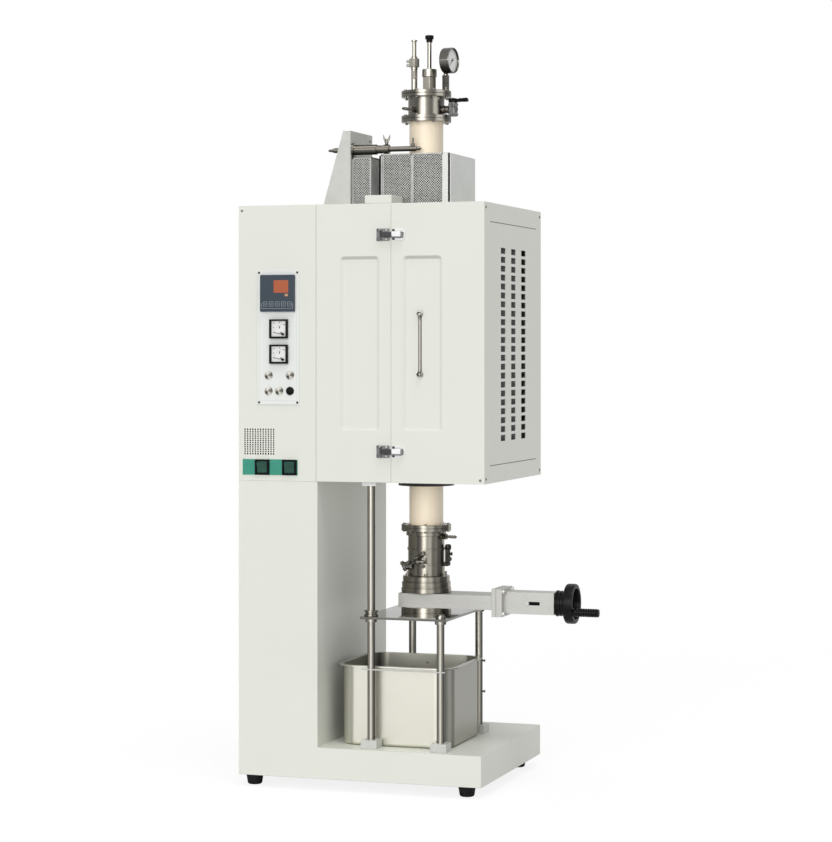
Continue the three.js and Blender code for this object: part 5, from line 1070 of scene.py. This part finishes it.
# Pressure gauge: a satin steel case on a square-necked stem, with a white dial, a ring of ticks,
# a clear cover's bright rim and a black needle.
# Painted reflections: the fittings and the gauge case carry bands of highlight and shade round their axes.
fitting_steel = painted_reflection_bands("fitting_steel", (
    (-180, 0.10), (-150, 0.05), (-125, 0.09), (-100, 0.10), (-88, 0.50), (-74, 0.55), (-60, 0.12), (-35, 0.22),
    (-15, 0.05), (15, 0.1), (60, 0.2), (100, 0.3), (140, 0.1),
), 0.28, flat=0.3, tint=(1.06, 1.0, 0.86), grain=0.0)
gauge_steel = painted_reflection_bands("gauge_case_steel", (
    (-180, 0.5), (-172, 0.2), (-150, 0.08), (-100, 0.04), (-40, 0.1), (0, 0.35), (50, 0.12), (90, 0.22),
    (130, 0.14), (165, 0.16),
), 0.24, around="X", flat=0.2)
gauge_x, gauge_y, gauge_z, gauge_turn = 502.2, 215, 1908.5, -9
case = turned("gauge_case", [
    (0, -4.4), (30.5, -4.4), (33.4, -3), (34.1, -1), (34.1, 21.5), (33.4, 23.3), (31.6, 23.5), (30.8, 21.5),
    (30.6, 17.7), (0, 17.7),
], origin, "X", 72)
dial_face = turned("gauge_dial", [(0, 17.5), (30.5, 17.5), (30.5, 18.0), (0, 18.0)], origin, "X", 64)
marks = []
for step in range(27):
    angle = math.radians(-135 + 270 / 26 * step)
    wide, long, reach = (0.0008, 0.0052, 0.0262) if step % 5 == 0 else (0.0005, 0.0032, 0.0272)
    at = (0.0182, reach * math.sin(angle), reach * math.cos(angle))
    marks.append(block((0.0003, wide, long), at, (-angle, 0, 0)))
marks = together("gauge_marks", *marks)
for part, slot, look in (
    (case, "steel", gauge_steel), (dial_face, "white_panel", dial_white), (marks, "black_plastic", ink),
):
    finished(stood(part, gauge_x, gauge_y, gauge_z, gauge_turn), "frame", slot, look)
gauge_foot = (gauge_x, gauge_y, 0)
stem = turned("gauge_stem", [
    (0, 1829.1), (8.5, 1829.1), (8.5, 1838), (7, 1841), (5.4, 1842), (5.4, 1850), (0, 1850),
], gauge_foot, steps=32)
neck = turned("gauge_neck", [
    (0, 1868), (6.2, 1868), (6.2, 1873), (4.6, 1875), (4.6, 1882), (0, 1882),
], gauge_foot, steps=32)
wrench_flats = [six_sided(9.5, gauge_x, gauge_y, low, low + 22) for low in (1848, 1827.5)]
stem = together("gauge_stem", stem, neck, *wrench_flats)
finished(stem, "frame", "steel", fitting_steel, "pressure_gauge")
hub = turned("gauge_hub", [(0, 18.2), (1.9, 18.2), (1.9, 20.6), (1.4, 21), (0, 21)], origin, "X", 24)
bpy.ops.object.select_all(action="DESELECT")
bpy.ops.mesh.primitive_cone_add(
    vertices=4, radius1=0.0011, radius2=0.0003, depth=0.032, location=(0.0196, 0, 0.008))
pointer = together("gauge_pointer", settled(bpy.context.object), hub)
pointer = stood(pointer, gauge_x, gauge_y, gauge_z, gauge_turn, 130)
finished(pointer, "gauge_needle", "black_plastic", ink, "gauge_needle")


# Bottom head: a turned stack with two bands round its body, and over-centre toggles that hold the
# quick-release joint; the lever brackets are welded on.
bottom_body = turned("bottom_head_turning", [
    (41, 503.6), (65.0, 503.6), (66, 504.6), (66, 515.3), (65.2, 516.3), (62.6, 516.6), (62.6, 518.4), (64, 518.8),
    (64.5, 519.6), (64.5, 530.7), (63.8, 531.5), (60.4, 531.9), (60.4, 533.7), (61.4, 534), (62, 534.8),
    (62, 546.2), (61.4, 547), (51, 547), (49, 548.5), (49, 575.6), (51.3, 576), (51.3, 577.8), (50, 578.1),
    (50, 578.9), (51.3, 579.2), (51.3, 581), (48, 581.4), (48, 615.6), (50.4, 616), (50.4, 617.8), (49, 618.1),
    (49, 618.9), (50.4, 619.2), (50.4, 621), (48, 621.4), (48, 653.2), (52.4, 653.6), (53, 654.4), (53, 662),
    (51, 662.4), (51, 666), (65.4, 666), (66, 666.6), (66, 673.4), (65.4, 674), (63.6, 674), (63.6, 675),
    (65.4, 675), (66, 675.6), (66, 682.4), (65.4, 683), (45.3, 683), (45.3, 648), (41, 648), (41, 503.6),
], tube_axis, steps=96)
# Painted reflections: bands of highlight and shade round the bottom head.
lower_steel = painted_reflection_bands("lower_head_steel", (
    (-180, 0.25), (-158, 0.12), (-140, 0.2), (-122, 0.24), (-108, 0.2), (-97, 0.10), (-89, 0.13), (-78, 0.66),
    (-69, 0.38), (-60, 0.5), (-50, 0.15), (-40, 0.2), (-30, 0.10), (-14, 0.07), (-4, 0.4), (8, 0.35), (45, 0.15),
    (80, 0.5), (115, 0.2), (150, 0.3),
), 0.3, flat=0.4, tint=(1.07, 1.0, 0.85), grain=0.03)
finished(bottom_body, "frame", "steel", lower_steel, "bottom_head")
finished(bolts("bottom_upper_bolts", 8, 58.5, -29, 662.5, 686.2, 4.0), "frame", "steel", bolt_steel)
finished(bolts("bottom_stack_bolts", 6, 56.4, -74, 546, 555.5, 5.2), "frame", "steel", bolt_steel)
finished(hose_tail("bottom_hose_tail", -15, 652), "frame", "steel", bolt_steel)
toggle_steel = plain("toggle_steel", (0.16, 0.15, 0.13), 0.24, metallic=1.0, variation=0.8, scale=120)
toggle_dark = plain("toggle_knobs", (0.03, 0.028, 0.024), 0.25, metallic=0.8, variation=0.6, scale=150)
pivot_ring = 58


def on_head(piece, azimuth, along, z, lean=0):
    """Stands a piece on a toggle's pivot: its X points out of the head, its Y lies along the pin."""
    out_x, out_y = math.cos(math.radians(azimuth)), math.sin(math.radians(azimuth))
    x = tube_x + pivot_ring * out_x - along * out_y
    y = tube_y + pivot_ring * out_y + along * out_x
    return stood(piece, x, y, z, azimuth, lean)


front_pivot, right_pivot = (-104, -34, 574, -61), (5, 0, 578)
for toggle, pivot, look in (("front", front_pivot, toggle_steel), ("right", right_pivot, toggle_dark)):
    ears = [near(f"ear_{toggle}_{y[0]}", (-34, 4.6), y, (-5, 5), 0.8) for y in ((-9.6, -6.4), (6.4, 9.6))]
    pin = turned(f"toggle_pin_{toggle}", [
        (0, -13.5), (4.6, -13.5), (5.2, -12.6), (5.2, -10), (2.1, -9.8), (2.1, 9.8), (5.2, 10), (5.2, 12.6),
        (4.6, 13.5), (0, 13.5),
    ], origin, "Y", 20)
    bracket = on_head(together(f"toggle_bracket_{toggle}", *ears, pin), *pivot)
    finished(bracket, "frame", "steel", look)
front_lever = softened("toggle_lever_front", "toggle_front", 1.6)
finished(front_lever, "toggle_front", "steel", toggle_steel, "toggle_front")
grip = turned("toggle_grip", [
    (0, 16), (4.4, 16.6), (5.2, 19), (4.2, 22), (4.2, 34), (5, 35), (4.2, 37), (4.2, 49), (5, 50), (4.2, 52),
    (4.6, 62), (5.4, 67), (5.2, 72), (3.4, 75), (0, 76),
], (middle_x + 5.5, middle_y, 0), "Z", 24)
finished(on_head(grip, *front_pivot), "toggle_front", "steel", toggle_steel)
clamp = together(
    "toggle_clamp",
    near("clamp_ear", (-10, -1), (2, 10), (8, 24), 1.6),
    near("clamp_link", (-10, -2), (-34, 10), (7, 17), 2.4, 3),
    turned("clamp_bolt", [
        (0, -6), (5.6, -6), (5.6, 0), (4.4, 1), (0, 1),
    ], (middle_x - 4, middle_y + 1, 1), "X", 6),
    turned("clamp_stud", [
        (0, -26), (4.6, -26), (5, -25), (5, -19), (4, -18), (0, -18),
    ], (middle_x - 5, middle_y, 14), "Y", 20),
)
finished(on_head(clamp, -82, 0, 574), "frame", "steel", toggle_steel)
crescent_steel = plain("crescent_steel", (0.85, 0.84, 0.8), 0.3, metallic=0.6)
crescent = turned("toggle_crescent", [
    (48.2, 568), (53, 568.6), (56, 571.4), (56.4, 576), (54, 580.4), (48.2, 581), (48.2, 568),
], tube_axis, steps=14, sweep=26, start=-116)
finished(crescent, "frame", "steel", crescent_steel)
right_lever = together(
    "toggle_lever_right",
    near("right_toggle_bar", (-6.5, 6.5), (-6, 6), (-3, 42), 3, 3),
    turned("right_toggle_knob", [
        (0, 37), (6.4, 37.6), (8.6, 41), (8.6, 47), (6.6, 52), (0, 53),
    ], (middle_x + 1, middle_y, 0), "Z", 28),
    turned("right_toggle_button", [
        (0, 4), (2.6, 4), (2.6, 8), (4.4, 8.4), (4.8, 10), (4.4, 12.6), (0, 13),
    ], (middle_x, middle_y, 27), "X", 24),
    turned("right_toggle_nut", [
        (0, -6.4), (6.2, -6.4), (6.6, -5), (6.6, 5), (6.2, 6.4), (0, 6.4),
    ], (middle_x + 4, middle_y, 13), "Y", 24),
    turned("right_toggle_knuckle", [
        (2.4, -5.9), (4.8, -5.9), (4.8, 5.9), (2.4, 5.9), (2.4, -5.9),
    ], origin, "Y", 20),
)
finished(on_head(right_lever, *right_pivot), "toggle_right", "steel", toggle_dark, "toggle_right")


# Gate valve and its drive: milled stainless blocks with a fine ground finish of straight scratches. The valve
# stands on a turned ring, and the square drive housing is bolted on with two flanges.
ground, ground_tree, ground_shader = bare_look("ground_blocks")
fill(ground_shader, {"Metallic": 0.5})
ground_where = add_node(ground_tree, "TexCoord")
stretch = add_node(ground_tree, "Mapping", {"Scale": (1, 12, 12)})
scratches = add_node(ground_tree, "TexNoise", {"Scale": 40, "Detail": 3})
ground_ramp = tone_ramp(ground_tree, (0.54, 0.535, 0.505), 0.88, 1.1)
spread = add_node(ground_tree, "MapRange", {"To Min": 0.32, "To Max": 0.5})
link_up(
    ground_tree,
    (ground_where, "Object", stretch, "Vector"), (stretch, "Vector", scratches, "Vector"),
    (scratches, "Fac", ground_ramp, "Fac"), (scratches, "Fac", spread, "Value"),
    (ground_ramp, "Color", ground_shader, "Base Color"), (spread, "Result", ground_shader, "Roughness"),
)
finished(softened("valve_block", "gate_valve_body", 0.5), "frame", "steel", ground, "gate_valve_body")
valve_foot = turned("valve_foot", [
    (35, 453.35), (66.3, 453.35), (66.3, 465.8), (35, 465.8), (35, 453.35),
], tube_axis, steps=96)
finished(valve_foot, "frame", "steel", lower_steel)
finished(softened("gate_leaf", "gate_plate", 0.3), "gate", "steel", ground, "gate_plate")
finished(softened("drive_block", "valve_drive_housing", 0.5), "frame", "steel", ground, "valve_drive_housing")
shadow_line = plain("parting_line", (0.05, 0.05, 0.048), 0.7)
bonnet_seam = slab("bonnet_seam", (656.0, 656.8), (160.9, 261.1), (447.9, 521.1))
finished(bonnet_seam, "frame", "black_plastic", shadow_line)
for index, (y, z) in enumerate(((169, 455.5), (169, 513.5), (253, 455.5), (253, 513.5))):
    bonnet_bolt = turned(f"bonnet_bolt_{index}", [
        (0, 0), (6.4, 0), (6.4, 3.5), (5.4, 5.8), (3.0, 6.8), (0, 7),
    ], (672, y, z), "X", 24)
    finished(bonnet_bolt, "frame", "steel", plated)
drive_slot = slab("drive_slot_shadow", (732, 769), (180.8, 181.2), (480.2, 488.8), 0.2)
finished(drive_slot, "frame", "black_plastic", shadow_black)
spindle_z = 484.5
slot_pin = turned("drive_slot_screw", [
    (0, -3.6), (2.6, -3.6), (3.2, -4.4), (5.6, -4.4), (6.2, -3.6), (6.2, 0), (0, 0),
], (735, 181, spindle_z), "Y", 24)
finished(slot_pin, "frame", "steel", plated)


# Handwheel: a black moulded wheel, dished to a thin web, with a stepped collar behind it and a ribbed
# crank handle that turns on its own pin.
wheel_black = plain("wheel_black", (0.006, 0.006, 0.006), 0.32, shine=0.16)
crank_axis = (0, 175.5, 466)
wheel = turned("handwheel_turning", [
    (0, 797), (6, 797), (6, 807.5), (33.2, 807.6), (34, 808.4), (34, 812.5), (31, 813.6), (31, 817), (33, 818),
    (33, 822), (31, 823), (31, 834), (48, 834.2), (51, 836), (52, 839), (52, 855), (51, 858.8), (48.5, 860),
    (42, 860), (40, 858.6), (37, 843.4), (12.5, 843), (12, 846), (0, 846),
], (0, tube_y, spindle_z), "X", 72)
boss = turned("crank_boss", [(0, 838), (11.5, 838), (11.5, 859.4), (10.8, 860), (0, 860)], crank_axis, "X", 32)
wheel = together("handwheel_moulding", wheel, boss)
finished(wheel, "handwheel", "black_plastic", wheel_black, "handwheel")
crank_profile = [(4.3, 860.6), (8.4, 860.6), (9.4, 862)]
for rib in range(9):
    low = 868 + rib * 6.4
    crank_profile += [(9.8, low - 1.6), (11, low - 0.6), (11, low + 2.6), (9.8, low + 3.6)]
crank_profile += [(10.8, 926), (9.6, 928.6), (7, 929.4), (0, 929.4), (0, 901.2), (4.3, 901.2), (4.3, 860.6)]
crank = turned("crank_grip", crank_profile, crank_axis, "X", 40)
finished(crank, "crank_handle", "black_plastic", wheel_black, "crank_handle")


# Support plate and rods: a polished stainless plate that mirrors the valve's foot, on four ground rods
# with sawn foot blocks, collars below and nuts above.
mirror_steel = plain("polished_plate", (0.26, 0.25, 0.225), 0.09, metallic=1.0, variation=0.3, scale=7)
finished(softened("carrier_plate", "support_plate", 0.5), "frame", "steel", mirror_steel, "support_plate")
block_grey = plain("foot_block_paint", (0.60, 0.605, 0.575), 0.45, metallic=0.2, variation=0.03, scale=20)
short_rod_top, tall_rod_top = 455, 795
cap_nut = [(0, 453.4), (12.6, 453.4), (12.6, 457), (11.5, 460), (8, 463), (3.5, 464.1), (0, 464.2)]
ring_nut = [
    (10, 453.4), (17.5, 453.4), (18, 454), (18, 458), (15, 459), (15, 463.5), (18, 464.5), (18, 468), (17, 468.4),
    (10, 468.4),
]
for corner, x, y, top, nut_profile in (
    ("front_left", 354.5, 42, tall_rod_top, ring_nut), ("front_right", 543.5, 42, short_rod_top, cap_nut),
    ("rear_left", 354.5, 380, short_rod_top, cap_nut), ("rear_right", 543.5, 380, short_rod_top, cap_nut),
):
    bar = turned(f"rod_{corner}", [(0, 118), (10, 118), (10, top), (0, top)], (x, y, 0), steps=40)
    nut = turned(f"nut_{corner}", nut_profile, (x, y, 0), steps=40)
    collar = turned(f"collar_{corner}", [
        (10, 437.9), (14, 437.9), (14.8, 438.6), (14.8, 446), (14, 446.6), (10, 446.6),
    ], (x, y, 0), steps=40)
    finished(together(f"rod_{corner}", bar, collar), "frame", "steel", rod_steel, f"support_rod_{corner}")
    finished(nut, "frame", "steel", fitting_steel)
    rod_foot = slab(f"rod_foot_{corner}", (x - 22, x + 22), (y - 22, y + 22), (111.1, 133), 0.8)
    finished(rod_foot, "frame", "steel", block_grey)
head_block = slab("rod_head_block", (335.6, 373.4), (23.1, 60.9), (791.8, 801.6), 0.6)
finished(head_block, "frame", "steel", white_and_highlight)
finished(slab("guard_strap", (331, 559), (28.4, 31.6), (314, 317.2), 0.4), "frame", "steel", ground)
for index, z in enumerate((222, 305)):
    stop = turned(f"rod_stop_{index}", [
        (0, 9.5), (2.4, 9.5), (2.4, 14), (3.4, 14.5), (3.4, 17.5), (0, 17.8),
    ], (543.5, 380, z), "X", 20)
    finished(stop, "frame", "steel", nickel)


# Quench tank: deep-drawn stainless, satin outside, with large corner radii, a rounded foot and a rim
# turned outwards and flattened.
def rise(piece, line):
    """How far apart in height the ends of an edge are, in metres."""
    a, b = ends_of(piece, line)
    return abs(a.z - b.z)


# Painted reflections: bright and dark bands round the tank's sides.
tank_steel = painted_reflection_bands("tank_steel", (
    (-180, 0.35), (-160, 0.2), (-135, 0.62), (-112, 0.7), (-100, 0.52), (-92, 0.76), (-80, 0.76), (-66, 0.40),
    (-52, 0.16), (-34, 0.34), (-16, 0.20), (0, 0.38), (30, 0.2), (90, 0.45), (135, 0.18),
), 0.3, flat=0.5, tint=(1.02, 1.0, 0.88), metallic=0.85)
tank_x, tank_y = 407, 211
pan = block((0.306, 0.282, 0.2088), mm(tank_x, tank_y, 215.9))
pick(pan, "EDGE", lambda line: rise(pan, line) > 0.1)
bpy.ops.mesh.bevel(offset=0.046, segments=10, affect="EDGES")
pick(pan, "FACE", lambda face: face.normal.z > 0.9)
bpy.ops.mesh.inset(thickness=0.0016)
bpy.ops.mesh.extrude_region_move(TRANSFORM_OT_translate={"value": (0, 0, -0.2072)})
pick(pan, "EDGE", lambda line: max(end.z for end in ends_of(pan, line)) < 0.1135)
bpy.ops.mesh.bevel(offset=0.0085, segments=4, affect="EDGES")
bpy.ops.object.mode_set(mode="OBJECT")
rim = block((0.330, 0.306, 0.0032), mm(tank_x, tank_y, 318.7))
pick(rim, "EDGE", lambda line: rise(rim, line) > 0.002)
bpy.ops.mesh.bevel(offset=0.058, segments=10, affect="EDGES")
pick(rim, "FACE", lambda face: abs(face.normal.z) > 0.9)
bpy.ops.mesh.inset(thickness=0.0125)
bpy.ops.mesh.bridge_edge_loops()
bpy.ops.mesh.select_all(action="DESELECT")
bpy.ops.object.mode_set(mode="OBJECT")
rounded(rim, 1.2, segments=2, limit_method="ANGLE")
finished(together("tank_pan", pan, rim), "quench_tank", "steel", tank_steel, "quench_tank")
rivet = turned("tank_rivet", [(0, -2), (3, -1.6), (4, 0), (0, 0)], (tank_x, 350.2, 298), "Y", 20)
finished(rivet, "quench_tank", "steel", rod_steel)
